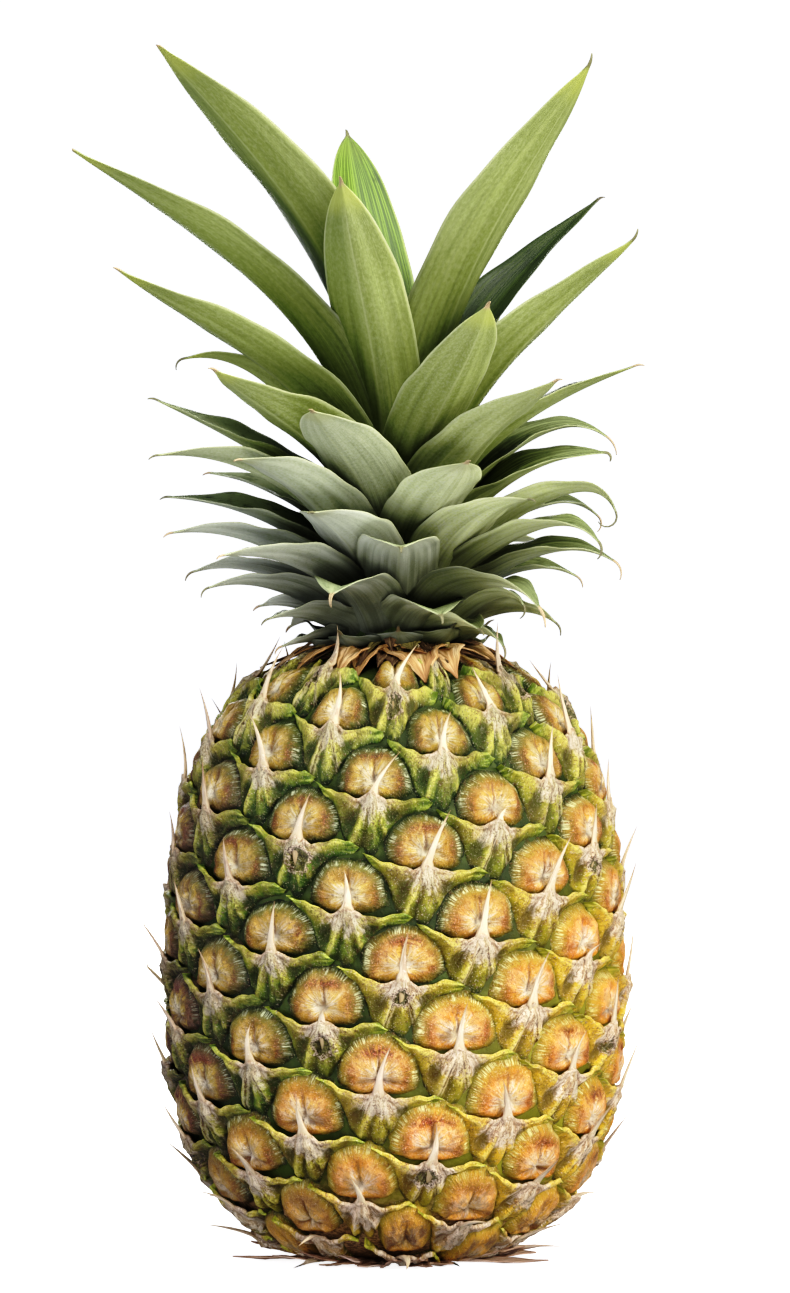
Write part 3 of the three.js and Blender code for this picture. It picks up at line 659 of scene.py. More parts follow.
DISC_PIT = (0.1, 3.4)       # right and up to the pit where the sepals meet
DISC_HALF_WIDTH = 13.7
DISC_RISE, DISC_DROP = 11.7, 5.6        # reach of the disc above and below its pit
DISC_RINGS = np.array([.05, .11, .18, .26, .35, .45, .55, .65, .74, .81, .86, .9, .935, .97, 1.0])
DISC_SIDES = 44


def disc_height(x, y, rho, swell, crease):
    """Height over the groove at (x, y) from the pit."""
    inside = 1 - smooth(0.7, 0.9, rho)
    body = 2.6 * (1 - smooth(0.6, 0.96, rho)) - 0.8 * smooth(0.93, 1.0, rho)
    shoulder = 0.2 * bell(rho - 0.62, 0.14)
    cushions = 0.9 * bell(np.abs(x) - 4.2, 3.4) * bell(y - 2.8, 3.4)
    seam = 1.1 * bell(x, 0.85) * smooth(-0.5, 1.0, y) * (1 - smooth(5.0, 8.5, y))
    pit = 1.0 * bell(rho, 0.12)
    tuck = 0.9 * smooth(-2.0, -4.0, y)
    return (body + (shoulder + cushions - seam - 1.5 * crease) * inside) * swell - pit - tuck


def disc_crease(x, y):
    """1 along the two creases that run from the pit to the lower left and right."""
    line = -0.16 * np.abs(x) - 0.4
    return bell(y - line, 0.9) * (1 - smooth(4.5, 9.0, np.abs(x))) * smooth(0.2, 1.2, np.abs(x))


def disc_grid():
    """One disc seen from its pit: share of the way to the rim, direction right and up, angle."""
    phi = np.arange(DISC_SIDES) * 2 * math.pi / DISC_SIDES
    cosine, sine = np.cos(phi), np.sin(phi)
    right = np.sign(cosine) * np.abs(cosine) ** np.where(sine > 0, 0.84, 0.5)
    up = np.sign(sine) * np.abs(sine) ** 0.88
    rows = [np.repeat(DISC_RINGS, DISC_SIDES)] + [np.tile(row, len(DISC_RINGS)) for row in (right, up, phi)]
    return (np.concatenate([[0.0], row])[None, None] for row in rows)


def disc_faces():
    fan = [(0, 1 + j, 1 + (j + 1) % DISC_SIDES) for j in range(DISC_SIDES)]
    rings = [tuple(v + 1 for v in f[::-1]) for f in grid_faces(len(DISC_RINGS), DISC_SIDES, closed=True)]
    return repeat_faces(fan + rings, EYE_COUNT, 1 + len(DISC_RINGS) * DISC_SIDES)


def eye_colours(centre_up, seeds):
    """Height and seed, ripeness, and the left flank's brown tone with painted shade, of every eye, the same
    over a whole disc or bract.
    """
    own, ripe, shade = seeds
    centre = place(on_lattice(EYES[:, None, None], 0.0, centre_up), 0.0)
    return centre[..., 2], {
        "seed": per_eye(own),
        "ripe": np.clip(ripeness(centre) + per_eye(ripe, -0.12, 0.12), 0, 1),
        # shade: the left flank's own brown tone together with painted shade.
        "shade": np.clip(browned_and_shaded(centre) * per_eye(shade, 0.6, 1.2), 0, 1),
    }


def eye_discs():
    rho, cx, cy, angle = disc_grid()
    wobble = 1
    for size, lobes, seed in ((0.03, 2, 1), (0.025, 5, 2), (0.012, 11, 12)):
        wobble = wobble + size * np.sin(lobes * angle + per_eye(seed, 0, ANY_PHASE))
    low = smooth(100, 30, MERIDIAN.at(EYES)["z"])[:, None, None]
    x = rho * cx * DISC_HALF_WIDTH * per_eye(3, 0.96, 1.03) * wobble
    rise = DISC_RISE * per_eye(4, 0.94, 1.04) * (1 + 0.2 * low)
    y = rho * cy * np.where(cy > 0, rise, DISC_DROP) * wobble
    crease = disc_crease(x, y) * smooth(0.25, 0.8, per_eye(13)) * (0.35 + 0.65 * low)
    height = disc_height(x, y, rho, per_eye(5, 0.9, 1.1), crease)
    folds = crumple(x, y, 100)
    height += 0.45 * folds * smooth(0.05, 0.3, rho) * (1 - smooth(0.86, 1, rho))
    ridge = np.where(np.arange(x.shape[-1]) % 2 == 0, 1, -1) * smooth(0.35, 0.7, rho)
    height += 0.1 * ridge * (1 - smooth(0.93, 1, rho)) * per_eye(6, 0.3, 1.0)
    tilt = per_eye(7, -0.03, 0.03) * x + per_eye(8, -0.03, 0.03) * y
    height += tilt * (1 - smooth(0.8, 1.0, rho))
    right, up = x + DISC_PIT[0], y + DISC_PIT[1]
    points = place(on_lattice(EYES[:, None, None], right, up), height)
    z, attributes = eye_colours(4.0, (9, 10, 11))
    attributes.update({
        "right": right, "up": up, "rho": rho, "dir_x": cx, "dir_y": cy, "crease": crease, "relief": folds,
        "parched": np.clip(smooth(38, 10, z) * per_eye(14, 0.7, 1.3), 0, 1),
    })
    return piece("eye_discs", points, disc_faces(), disc_material(), "fruit_body", attributes)


# Upper edge of a bract from wing to wing, and its lower outline between the discs below: right, up.
BRACT_TOP = [(-18.8, 3.4), (-15.0, 1.9), (-11.5, 0.6), (-7.5, -0.7), (-4.2, -1.5), (-2.2, -0.6), (0.0, 0.2),
             (2.2, -0.7), (4.4, -1.9), (8.0, -2.0), (12.0, -1.3), (16.0, -1.0), (18.8, -2.2)]
BRACT_BOTTOM = [(-18.8, 3.4), (-16.4, 0.2), (-12.8, -2.6), (-10.8, -7.0), (-9.8, -11.6), (-6.6, -15.4),
                (0.2, -17.0), (2.8, -13.8), (5.8, -8.4), (9.2, -5.7), (13.4, -4.5), (17.2, -4.1),
                (18.8, -2.2)]
BRACT_COLUMNS = 39
BRACT_ROWS = np.array([0, .04, .1, .17, .25, .34, .44, .54, .64, .74, .83, .92, 1.0])
# Rows that fold over the bract's upper edge: up, height above or below the edge.
BRACT_LIP = [(-1.6, -1.5), (0.15, -1.15), (0.4, -0.75), (0.32, -0.25)]
# How much of the dry rim the first rows show, from under the fold on.
BRACT_RIM = [0.4, 1, 1, 1, 1, 0.5, 0.1]


def along_line(line, share):
    line = np.asarray(line, float)
    step = np.hypot(*np.diff(line, axis=0).T)
    length = np.concatenate([[0], np.cumsum(step)]) / step.sum()
    return np.interp(share, length, line[:, 0]), np.interp(share, length, line[:, 1])


def bract_relief(across, down, x, y):
    """The keel and legs of a bract and the hollows between them."""
    clear = smooth(0.0, 0.18, down) * smooth(1.0, 0.75, down)
    keel = 1.1 * bell(x + 0.08 * y, 1.2) * smooth(1.0, 0.4, down)
    legs = 1.3 * (bell(x - 0.5 * y, 1.2) + bell(x + 0.4 * y, 1.2)) * clear * smooth(-1.5, -4.0, y)
    wings = 0.9 * bell(down - 0.14, 0.15) * smooth(0.15, 0.4, np.abs(across))
    between = 0.9 * bell(np.abs(x) + 0.23 * y, 0.9) * smooth(-3.0, -6.0, y)
    beside = 1.7 * bell(np.abs(x) + 0.45 * y - 3.8, 2.2) * bell(down - 0.48, 0.28)
    return keel + legs + wings - between - beside


def bract_height(across, down, x, y, swell):
    top = 3.9 - 1.7 * np.abs(across) ** 1.2
    fall = -0.7 + (top + 0.7) * (1 - 0.46 * down - 0.54 * down ** 4.5)
    return (fall + bract_relief(across, down, x, y)) * swell


def bract_scar(right, up):
    """Below 1 inside the torn dry hollow that some bracts have under their spine."""
    x = (right - per_eye(33, -3.5, 4.0)) / per_eye(34, 2.6, 3.9)
    y = (up - per_eye(35, -7.0, -4.5)) / per_eye(36, 2.2, 3.4)
    return np.hypot(x, y) + 5 * (per_eye(37) > 0.22)


def bract_grid(share, down):
    """Right and up of the points of every bract, with wavy edges and wings that droop or rise."""
    across = share * 2 - 1
    side = np.abs(across)
    top_x, top_y = along_line(BRACT_TOP, share)
    low_x, low_y = along_line(BRACT_BOTTOM, share)
    wave = 0.32 * np.sin(9 * across + per_eye(20, 0, ANY_PHASE))
    wave = wave + 0.2 * np.sin(23 * across + per_eye(21, 0, ANY_PHASE))
    wave = wave * smooth(0.08, 0.3, side) * smooth(1.0, 0.8, side)
    shift = per_eye(22, -0.4, 0.4)
    droop = per_eye(23, -0.8, 0.8) * smooth(0, -1, across) + per_eye(24, -0.8, 0.8) * smooth(0, 1, across)
    top_y = top_y + wave + droop * (1 - smooth(0.7, 1.0, side))
    return top_x + (low_x - top_x) * down + shift * (1 - down), top_y + (low_y - top_y) * down


def eye_bracts():
    share = np.linspace(0, 1, BRACT_COLUMNS)[None, None, :]
    across = share * 2 - 1
    down = BRACT_ROWS[None, :, None]
    x, y = bract_grid(share, down)
    height = bract_height(across, down, x, y, per_eye(25, 0.92, 1.08))
    torn = bract_scar(x, y)
    folds = 0.4 * crumple(x, y, 140, (7.0, 4.4, 3.0)) * smooth(1.0, 0.75, down)
    height = height + folds
    height = height - 1.1 * smooth(1.0, 0.6, torn) + 0.5 * bell(torn - 1.1, 0.2)
    fade = smooth(1.0, 0.8, np.abs(across))
    lip_x = np.repeat(x[:, :1], len(BRACT_LIP), 1)
    lip_y = np.concatenate([y[:, :1] + dy * fade for dy, _ in BRACT_LIP], 1)
    lip_h = np.concatenate([height[:, :1] + dh * (0.35 + 0.65 * fade) for _, dh in BRACT_LIP], 1)
    for seed, middle in ((28, -0.5), (29, 0.5)):
        height[:, :1] += per_eye(seed, 0.0, 0.3) * bell(across - middle, 0.25)
    right, up = np.concatenate([lip_x, x], 1), np.concatenate([lip_y, y], 1)
    height = np.concatenate([lip_h, height], 1)
    points = place(on_lattice(EYES[:, None, None], right, up), height)
    rows = len(BRACT_LIP) + len(BRACT_ROWS)
    one = [face[::-1] for face in grid_faces(rows, BRACT_COLUMNS)]
    z, attributes = eye_colours(-4.0, (30, 31, 32))
    attributes.update({
        "right": right, "up": up, "across": across, "scar": bract_scar(right, up),
        "down": np.concatenate([np.zeros(len(BRACT_LIP)), BRACT_ROWS])[:, None],
        "lip": np.concatenate([BRACT_RIM, np.zeros(rows - len(BRACT_RIM))])[:, None],
        "relief": np.concatenate([lip_x * 0 + 1.0, bract_relief(across, down, x, y) + folds], 1),
        "parched": smooth(28, 5, z) * per_eye(38, 0.7, 1.2), "high": smooth(128, 160, z),
    })
    return piece("eye_bracts", points, repeat_faces(one, EYE_COUNT, rows * BRACT_COLUMNS), bract_material(),
                 "fruit_body", attributes)


SPINE_SIDES = 8
# Stations below the root, which lie on the bract: way along, half width, thickness.
SPINE_TAIL = np.array([(-8.5, 0.2, 0.15), (-6.0, 0.75, 0.4), (-3.6, 1.05, 0.55), (-1.8, 1.3, 0.7),
                       (-0.6, 1.7, 0.8), (0.2, 2.3, 0.75)])
# Stations above it: share of the length, half width, thickness.
SPINE_BLADE = np.array([(0.08, 1.6, 0.8), (0.17, 1.2, 0.75), (0.3, 1.0, 0.65), (0.44, 0.86, 0.6),
                        (0.58, 0.64, 0.45), (0.71, 0.44, 0.32), (0.83, 0.27, 0.2), (0.92, 0.15, 0.12),
                        (1.0, 0.03, 0.03)])
SPINE_RINGS = len(SPINE_TAIL) + len(SPINE_BLADE)
SPINE_FOOT = 3.6            # height of the root over the skin
SPINE_LENGTH, SHORT_SPINE, SHORT_SHARE = (10.0, 16.5), 4.0, 0.08
FRUIT_LIMITS = np.array([[-73.4, -73.2, 0.5], [73.1, 71.2, 347.0]])


def spine_line(root):
    """Way along every spine from its root, its middle line over the skin, and its lean."""
    length = np.where(per_eye(41) < SHORT_SHARE, SHORT_SPINE, per_eye(40, *SPINE_LENGTH))
    length = length * (1 - 0.6 * smooth(30.0, 24.0, root["r"]))
    side_on = np.sin(root["azimuth"])
    room = np.maximum(smooth(-0.5, -0.95, side_on), 0.5 * smooth(0.6, 0.95, side_on))
    room = np.maximum(room, smooth(60, 46, root["r"]))
    lean = (6 + 20 * per_eye(42) ** 2 + 26 * room * per_eye(49) ** 1.5) * RAD
    bend_out = per_eye(45, -2.2, 1.8) + (3 + 3 * smooth(60, 52, root["r"])) * room * per_eye(50)
    share = SPINE_BLADE[:, 0][None, :, None]
    tail = np.broadcast_to(SPINE_TAIL[:, 0][None, :, None], (EYE_COUNT, len(SPINE_TAIL), 1))
    travel = np.concatenate([tail, share * length], 1)
    bent = np.concatenate([np.zeros((1, len(SPINE_TAIL), 1)), share ** 2], 1)
    above, below = np.maximum(travel, 0), np.minimum(travel, 0)
    x = travel * 0.06 + above * per_eye(43, -0.3, 0.3) + bent * per_eye(44, -4.5, 4.5)
    y = below + above * np.cos(lean)
    height = SPINE_FOOT + above * np.sin(lean) + bent * bend_out + below * 0.09
    height = height - below ** 2 / 130 - smooth(-4.5, -9, travel) * 1.2
    return travel, (x, y, height), lean


def spines():
    root = on_lattice(EYES[:, None, None], 0.0, 0.0)
    travel, (x, y, height), lean = spine_line(root)
    _, half, thick = np.concatenate([SPINE_TAIL, SPINE_BLADE]).T[:, None, :, None]
    turn = (np.arange(SPINE_SIDES) * 2 * math.pi / SPINE_SIDES)[None, None, :]
    front = np.maximum(np.sin(turn), 0) * 1.15 + np.minimum(np.sin(turn), 0) * 0.5
    front = (front - 0.45 * (np.sin(turn) > 0.9)) * thick
    ragged = np.random.default_rng(48).uniform(-0.14, 0.14, (EYE_COUNT, SPINE_RINGS, SPINE_SIDES))
    half = half * per_eye(46, 0.8, 1.1) * (1 + ragged)
    tooth = smooth(-1.2, 0.2, travel) * smooth(1.6, 0.2, travel)
    x = x + half * np.cos(turn)
    y = y - front * np.sin(lean) - tooth * 0.7 * np.abs(np.cos(turn))
    height = height + front * np.cos(lean)
    sine, cosine = np.sin(root["azimuth"]), np.cos(root["azimuth"])
    out = np.stack([root["out"] * sine, -root["out"] * cosine, root["up"]], -1)
    side = np.stack([cosine, sine, 0 * sine], -1)
    points = place(root, 0.0) + x[..., None] * side + y[..., None] * np.cross(out, side)
    points = np.clip(points + height[..., None] * out, FRUIT_LIMITS[0], FRUIT_LIMITS[1])
    size = SPINE_RINGS * SPINE_SIDES
    one = [face[::-1] for face in grid_faces(SPINE_RINGS, SPINE_SIDES, closed=True)]
    one.append(tuple(range(SPINE_SIDES)))
    one.append(tuple(range(size - 1, size - 1 - SPINE_SIDES, -1)))
    along = np.concatenate([np.linspace(0.0, 0.4, len(SPINE_TAIL)), 0.4 + 0.6 * SPINE_BLADE[:, 0]])
    attributes = {"along": along[:, None], "turn": np.sin(turn) + 0.6 * np.cos(turn),
                  "edge": np.abs(np.cos(turn)), "seed": per_eye(47)}
    return piece("spines", points, repeat_faces(one, EYE_COUNT, size), spine_material(),
                 "fruit_body", attributes)


# -------------------------------------------------------------------- crown
# The stem: height, radius.
CORE = np.array([[172.3, 13.6], [176.0, 13.6], [178.5, 16.5], [187, 16.5], [215, 12.5], [240, 8], [256, 4]])
ROOT_SHARE = 0.88           # how far out in the stem a leaf begins
# Leaves: azimuth, height of the root, reach and height of the tip, half width of the blade laid flat,
# angle from the vertical at the root and at the tip, roll about the keel, bluntness of the tip.
# The lowest whorls are short and spreading.
LOW_LEAVES = [
    (-70, 176, 35, 178, 10, 60, 106, -8, 0), (-60, 178, 42, 186, 13, 50, 105, -8, 0),
    (-112, 180, 43, 190, 12, 50, 100, -8, 0), (-75, 183, 56, 195, 12, 54, 106, -8, 0),
    (-98, 186, 60, 200, 12, 54, 106, -8, 0), (-52, 187, 62, 204, 13.5, 44, 94, -6, 0.3),
    (20, 176, 38, 187, 14, 34, 116, 0, 0.7), (-24, 179, 44, 193, 14, 34, 122, 0, 0.6),
    (42, 181, 61, 189, 14, 38, 135, 8, 0), (42, 176, 36, 183, 13, 46, 112, 8, 0.3),
    (72, 180, 39, 190, 12, 44, 150, 8, 0), (92, 179, 47, 185, 12, 48, 128, 8, 0),
    (60, 176, 36, 178, 10, 53, 150, 8, 0), (112, 186, 58, 199, 12, 50, 116, 8, 0),
    (180, 177, 48, 186, 13, 45, 110, 0, 0), (-156, 182, 56, 195, 13, 45, 105, 0, 0),
    (157, 184, 58, 199, 13, 42, 105, 0, 0), (-136, 177, 45, 184, 12, 48, 110, 0, 0),
]
# The middle whorls are longer and arch out level.
MIDDLE_LEAVES = [
    (-80, 191, 66, 211, 13, 50, 98, -8, 0), (-95, 197, 67, 222, 13, 46, 86, -8, 0),
    (-120, 202, 64, 230, 12, 42, 82, -8, 0), (-45, 198, 62, 231, 14, 34, 80, -6, 0.6),
    (-70, 204, 73, 233, 14, 40, 96, -8, 0), (-85, 210, 70, 250, 14, 42, 64, -8, 0),
    (2, 184, 49, 206, 14, 24, 100, 0, 1), (-28, 189, 50, 216, 15, 16, 74, 0, 0.9),
    (45, 190, 54, 220, 15, 28, 86, 8, 0), (24, 196, 50, 230, 14.5, 12, 56, 0, 0.9),
    (86, 188, 64, 203, 12.5, 51, 122, 8, 0), (66, 192, 64, 208, 12.5, 49, 140, 8, 0),
    (112, 196, 65, 217, 12, 44, 130, 8, 0), (80, 197, 65, 217, 12.5, 46, 160, 8, 0),
    (72, 203, 64, 234, 13.5, 36, 92, 8, 0), (102, 207, 64, 240, 12, 30, 125, 8, 0),
    (-170, 192, 64, 214, 14, 38, 95, 0, 0), (166, 200, 68, 229, 14, 32, 85, 0, 0),
    (135, 192, 62, 209, 13, 42, 100, 0, 0), (-145, 194, 62, 212, 13, 42, 100, 0, 0),
]
# The upper whorls are upright and long; the last rows are the heart of the crown.
TOP_LEAVES = [
    (-45, 212, 72, 256, 16, 26, 58, -8, 0.2), (-85, 218, 62, 262, 14, 30, 102, -8, 0),
    (-62, 222, 89, 285, 15, 26, 58, -8, 0.2), (-65, 228, 101, 319, 15, 14, 60, -8, 0.2),
    (-22, 202, 62, 244, 15, 8, 58, 0, 0.8), (42, 205, 68, 253, 15, 18, 62, 6, 0.3),
    (22, 212, 69, 273, 13.5, 8, 36, 0, 0.8), (72, 212, 73, 259, 14, 28, 70, 8, 0),
    (62, 218, 77, 294, 15, 20, 50, 6, 0.3), (145, 215, 62, 287, 10, 15, 50, 0, 0),
    (-153, 210, 72, 254, 14, 25, 70, 0, 0), (161, 208, 72, 248, 14, 25, 72, 0, 0),
    (-176, 220, 70, 276, 15, 15, 55, 0, 0), (118, 224, 69, 312, 15, 10, 50, -14, 0),
    (-140, 230, 63, 290, 15, 10, 52, -8, 0),
    (-50, 234, 87, 347, 17, 0, 50, -8, 0.4), (-17, 220, 52, 309, 14, -2, 24, 0, 0.9),
    (52, 230, 70, 343, 16, 6, 36, 6, 0.5), (-160, 236, 42, 332, 13, 2, 18, 0, 1),
    (100, 240, 24, 300, 8, 2, 24, 0, 0.6), (-95, 242, 18, 292, 7, 0, 20, 0, 0.6),
    (170, 244, 10, 284, 6, -4, 12, 0, 0.6),
]
# Short broad scales that close the crown over the fruit.
BASE_SCALES = [(azimuth, 172, 24 + azimuth % 7, 180.5 + azimuth % 5, 12, 50, 38, 0, 0.5)
               for azimuth in range(2, 362, 36)]
LEAF_COLUMNS, BLADE_RINGS, HOOK_RINGS = 17, 37, 7
# Along a leaf, 0 at the root and 1 at the end of the blade; how far each ring is into the hook.
BLADE_SHARE = np.concatenate([np.linspace(0, 1, BLADE_RINGS) ** 0.92, np.ones(HOOK_RINGS)])[:, None]
HOOK_SHARE = np.concatenate([np.zeros(BLADE_RINGS), np.linspace(0, 1, HOOK_RINGS + 1)[1:]])[:, None]
ACROSS = np.linspace(-1, 1, LEAF_COLUMNS)
LEAF_BASE = 0.82            # width at the root against the widest place
LOWEST_ROOT, TIER_RISE = 176, 60
BOX_MARGIN = 0.05
# Leaves darker than the rest with painted shade, by azimuth and root height: how dark.
PAINTED_SHADE_LEAVES = {(118, 224): 0.8, (-120, 202): 0.15, (145, 215): 0.5, (-160, 236): 0.1, (-140, 230): 0.4,
          (112, 196): 0.25}
# Painted shade on the base scales under the crown.
SCALE_PAINTED_SHADE = 0.75
# Thin dry hooks at the tips, by azimuth and root height of the leaf: length, turn in degrees.
HOOKS = {
    (80, 197): (8, 170), (102, 207): (6, 50), (112, 196): (5, 100), (66, 192): (5, 90), (86, 188): (6, 80),
    (72, 180): (4, 90), (60, 176): (4, 60), (92, 179): (4, 60), (112, 186): (4, 60), (72, 203): (3, 120),
    (-85, 218): (4, 90), (-98, 186): (3.5, 60), (-75, 183): (3.5, 70), (-70, 176): (3, 60),
    (-60, 178): (3, 40), (-65, 228): (1.5, 10), (-50, 234): (1.0, 10), (-62, 222): (2, 10),
    (52, 230): (4, -40), (62, 218): (4, -50), (20, 176): (3, 60), (-24, 179): (4, 100),
    (42, 181): (6, 40), (2, 184): (2, 60),
}
# Leaves whose channel is turned toward the front, by azimuth and root height: degrees about the keel.
ROLLS = {
    (72, 212): -8, (72, 203): -26, (102, 207): -18, (112, 196): -18, (86, 188): -14, (66, 192): -8,
    (112, 186): -16, (-85, 210): 14, (-95, 197): 14, (-120, 202): 12, (42, 205): 0, (145, 215): -10,
}
USUAL_HOOK = (2.6, 35)
KEEL_SHARE = 0.75           # how far the section is a V rather than an arc


def leaf_width(blunt, t):
    """Width at t along the blade against its widest place."""
    s = np.clip((t - 0.32) / 0.68, 0, 1)
    low = LEAF_BASE + (1 - LEAF_BASE) * np.sin(math.pi * np.minimum(t, 0.32) / 0.64)
    return np.where(t < 0.32, low, (1 - s ** (1.5 + 1.6 * blunt)) ** (1 - 0.3 * blunt))


def directions(azimuth):
    """Unit vectors outward, sideways and up at an azimuth in degrees."""
    a = azimuth * RAD
    return (np.array([math.sin(a), -math.cos(a), 0.0]), np.array([math.cos(a), math.sin(a), 0.0]),
            np.array([0.0, 0.0, 1.0]))


def blade_keel(start, tip, angles, t):
    """(reach, height) of a bent keel and its direction, leaving and ending at angles from the vertical."""
    length = np.linalg.norm(tip - start)
    leave, end = (np.array([math.sin(angle * RAD), math.cos(angle * RAD)]) for angle in angles)
    low, high = start + 0.4 * length * leave, tip - 0.33 * length * end
    keel = (1 - t) ** 3 * start + 3 * (1 - t) ** 2 * t * low + 3 * (1 - t) * t ** 2 * high + t ** 3 * tip
    along = 3 * (1 - t) ** 2 * (low - start) + 6 * (1 - t) * t * (high - low) + 3 * t ** 2 * (tip - high)
    return keel, along / np.linalg.norm(along, axis=1)[:, None]


def hooked(keel, along, length, turn):
    """The keel and its direction with a thin hook of this length, turning outward, at its end."""
    heading = math.atan2(along[-1, 0], along[-1, 1])
    angle = heading + turn * RAD * np.linspace(0.5, HOOK_RINGS - 0.5, HOOK_RINGS) / HOOK_RINGS
    ahead = np.stack([np.sin(angle), np.cos(angle)], 1)
    hook = keel[-1] + np.cumsum(length / HOOK_RINGS * ahead, 0)
    return np.concatenate([keel, hook]), np.concatenate([along, ahead])


def leaf_section(t, u, half_width, blunt):
    """Way across, depth and thickness of the channelled section at each ring and column."""
    half = np.maximum(0.75 - 0.55 * HOOK_SHARE, half_width * leaf_width(blunt, t))
    wrap = np.interp(t, [0, 0.35, 1], [82, 57, 36]) * RAD
    arc = half / wrap
    thick = 0.55 + 0.6 * (1 - t) * (1 - 0.75 * np.abs(u) ** 2)
    thick = np.minimum(thick * (1 - 0.8 * np.abs(u) ** 6), 0.6 * arc)
    deep = 1 - np.cos(u * wrap)
    deep = deep + (np.abs(u) ** 1.05 * (1 - np.cos(wrap)) - deep) * KEEL_SHARE * smooth(0.0, 0.3, t)
    return arc * np.sin(u * wrap), arc * deep, thick


def leaf(row, seed):
    """Outer and inner face of one leaf: points as (face, ring, column)."""
    azimuth, root_z, reach, tip_z, half_width, root_angle, tip_angle, roll, blunt = row
    random = np.random.default_rng(900 + seed)
    out, side, up = directions(azimuth)
    start = np.array([np.interp(root_z, CORE[:, 0], CORE[:, 1]) * ROOT_SHARE, root_z])
    t, u = BLADE_SHARE, ACROSS
    tip = np.array([reach, tip_z], float)
    keel, along = blade_keel(start, tip, (root_angle, tip_angle), t[:BLADE_RINGS])
    keel, along = hooked(keel, along, *HOOKS.get(tuple(row[:2]), USUAL_HOOK))
    centre = keel[:, :1] * out + keel[:, 1:] * up
    face = -along[:, 1:] * out + along[:, :1] * up
    turn = ROLLS.get(tuple(row[:2]), roll) * np.minimum(1, 1.6 * t) * RAD
    across = side * np.cos(turn) - face * np.sin(turn)
    inward = face * np.cos(turn) + side * np.sin(turn)
    wide, deep, thick = leaf_section(t, u, half_width, blunt)
    phase = random.uniform(0, ANY_PHASE, 3)
    ripple = 0.55 * np.sin(14 * t + phase[0] + 1.5 * u) * np.abs(u) ** 2
    ripple = (ripple + 0.25 * np.sin(31 * t + phase[1]) * np.abs(u) ** 3) * np.sin(math.pi * t)
    middle = centre[:, None, :] + wide[..., None] * across[:, None, :]
    faces = [middle + (deep + inner * thick + ripple)[..., None] * inward[:, None, :] for inner in (0, 1)]
    return np.stack(faces)


def leaves(name, rows, first_seed):
    points = np.stack([leaf(row, first_seed + k) for k, row in enumerate(rows)])
    low, high = (np.array(corner) / MM for corner in cad_box)
    points = np.clip(points, low + BOX_MARGIN, high - BOX_MARGIN)
    azimuth, root_z = np.array(rows).T[:2, :, None, None, None]
    seeds = [np.random.default_rng(300 + first_seed + k).uniform() for k in range(len(rows))]
    # How much painted shade each leaf takes.
    dark = [PAINTED_SHADE_LEAVES.get(tuple(row[:2]), SCALE_PAINTED_SHADE if row in BASE_SCALES else 0.0) for row in rows]
    attributes = {
        "along": BLADE_SHARE + 0.04 * HOOK_SHARE, "across": ACROSS, "inner": np.arange(2)[:, None, None],
        "seed": np.reshape(seeds, azimuth.shape), "dark": np.reshape(dark, azimuth.shape),
        "tier": np.clip((root_z - LOWEST_ROOT) / TIER_RISE, 0, 1),
        # Painted light: 1 on the side toward the key lamp.
        "sunny": smooth(-0.2, 0.9, np.sin(azimuth * RAD)),
    }
    one = shell_faces(len(BLADE_SHARE), LEAF_COLUMNS)
    faces = repeat_faces(one, len(rows), 2 * len(BLADE_SHARE) * LEAF_COLUMNS)
    return piece(name, points, faces, LEAF, "crown", attributes)


def revolve(name, outline, material, node, sides, bottom, height, cycles, seed):
    """A piece turned about the Z axis from (radius, height) rows and closed at both ends."""
    outline = np.asarray(outline, float)
    azimuth = np.linspace(0, 2 * math.pi, sides, endpoint=False)[None, :]
    x, y = outline[:, :1] * np.sin(azimuth), -outline[:, :1] * np.cos(azimuth)
    flat, faces = capped(np.stack([x, y, outline[:, 1:] + 0 * azimuth], -1))
    attributes = {"along": (flat[:, 2] - bottom) / height,
                  "across": np.arctan2(flat[:, 1], flat[:, 0]) * cycles, "seed": seed}
    return piece(name, flat, faces, material, node, attributes)


def crown_stem():
    return revolve("crown_stem", CORE[:, ::-1], STEM_PAPER, "crown",
                   sides=40, bottom=172, height=84, cycles=2, seed=0.3)


# ------------------------------------------------------ neck and stalk rags
NECK_BORE, NECK_ROOT_Z = 14.4, 178.5
# The largest dry bracts: azimuth, reach, height of the tip, half width at the root, lift of the middle.
NECK_BRACTS = [
    (12, 42.0, 170.2, 7.0, 0.5), (-17, 36.0, 172.0, 5.5, 0.6), (31, 40.0, 171.4, 6.5, 0.8),
    (60, 38.0, 174.6, 5.0, 1.6), (92, 40.0, 172.2, 5.5, 1.0), (122, 41.0, 171.2, 6.0, 0.8),
    (153, 39.0, 173.0, 5.0, 1.2), (178, 41.5, 170.6, 6.0, 0.8), (-152, 39.0, 173.4, 5.0, 1.4),
    (-124, 41.0, 171.2, 5.0, 0.8), (-99, 39.0, 173.2, 4.0, 1.4), (-73, 41.0, 172.2, 3.6, 1.0),
    (-30, 40.0, 171.8, 3.6, 0.8), (-52, 38.0, 173.8, 3.4, 1.5),
]
# Dry bracts flat under the fruit: azimuth, reach.
BASAL_BRACTS = [(-70, 50), (-30, 42), (14, 41), (58, 51), (100, 44), (143, 42), (-170, 44), (-120, 45)]
BASAL_ROOT, BASAL_HALF_WIDTH = 10, 6
# Crumpled dry bracts that close the base; reach, tip height and half width are low and high limits.
SKIRT_COUNT, SKIRT_ROOT = 26, 16
SKIRT_REACH, SKIRT_TIP_Z, SKIRT_HALF_WIDTH = (33, 44), (1.5, 8.0), (4, 8)
RAG_RINGS, RAG_COLUMNS = 16, 9
RAG_THICKNESS = 0.35


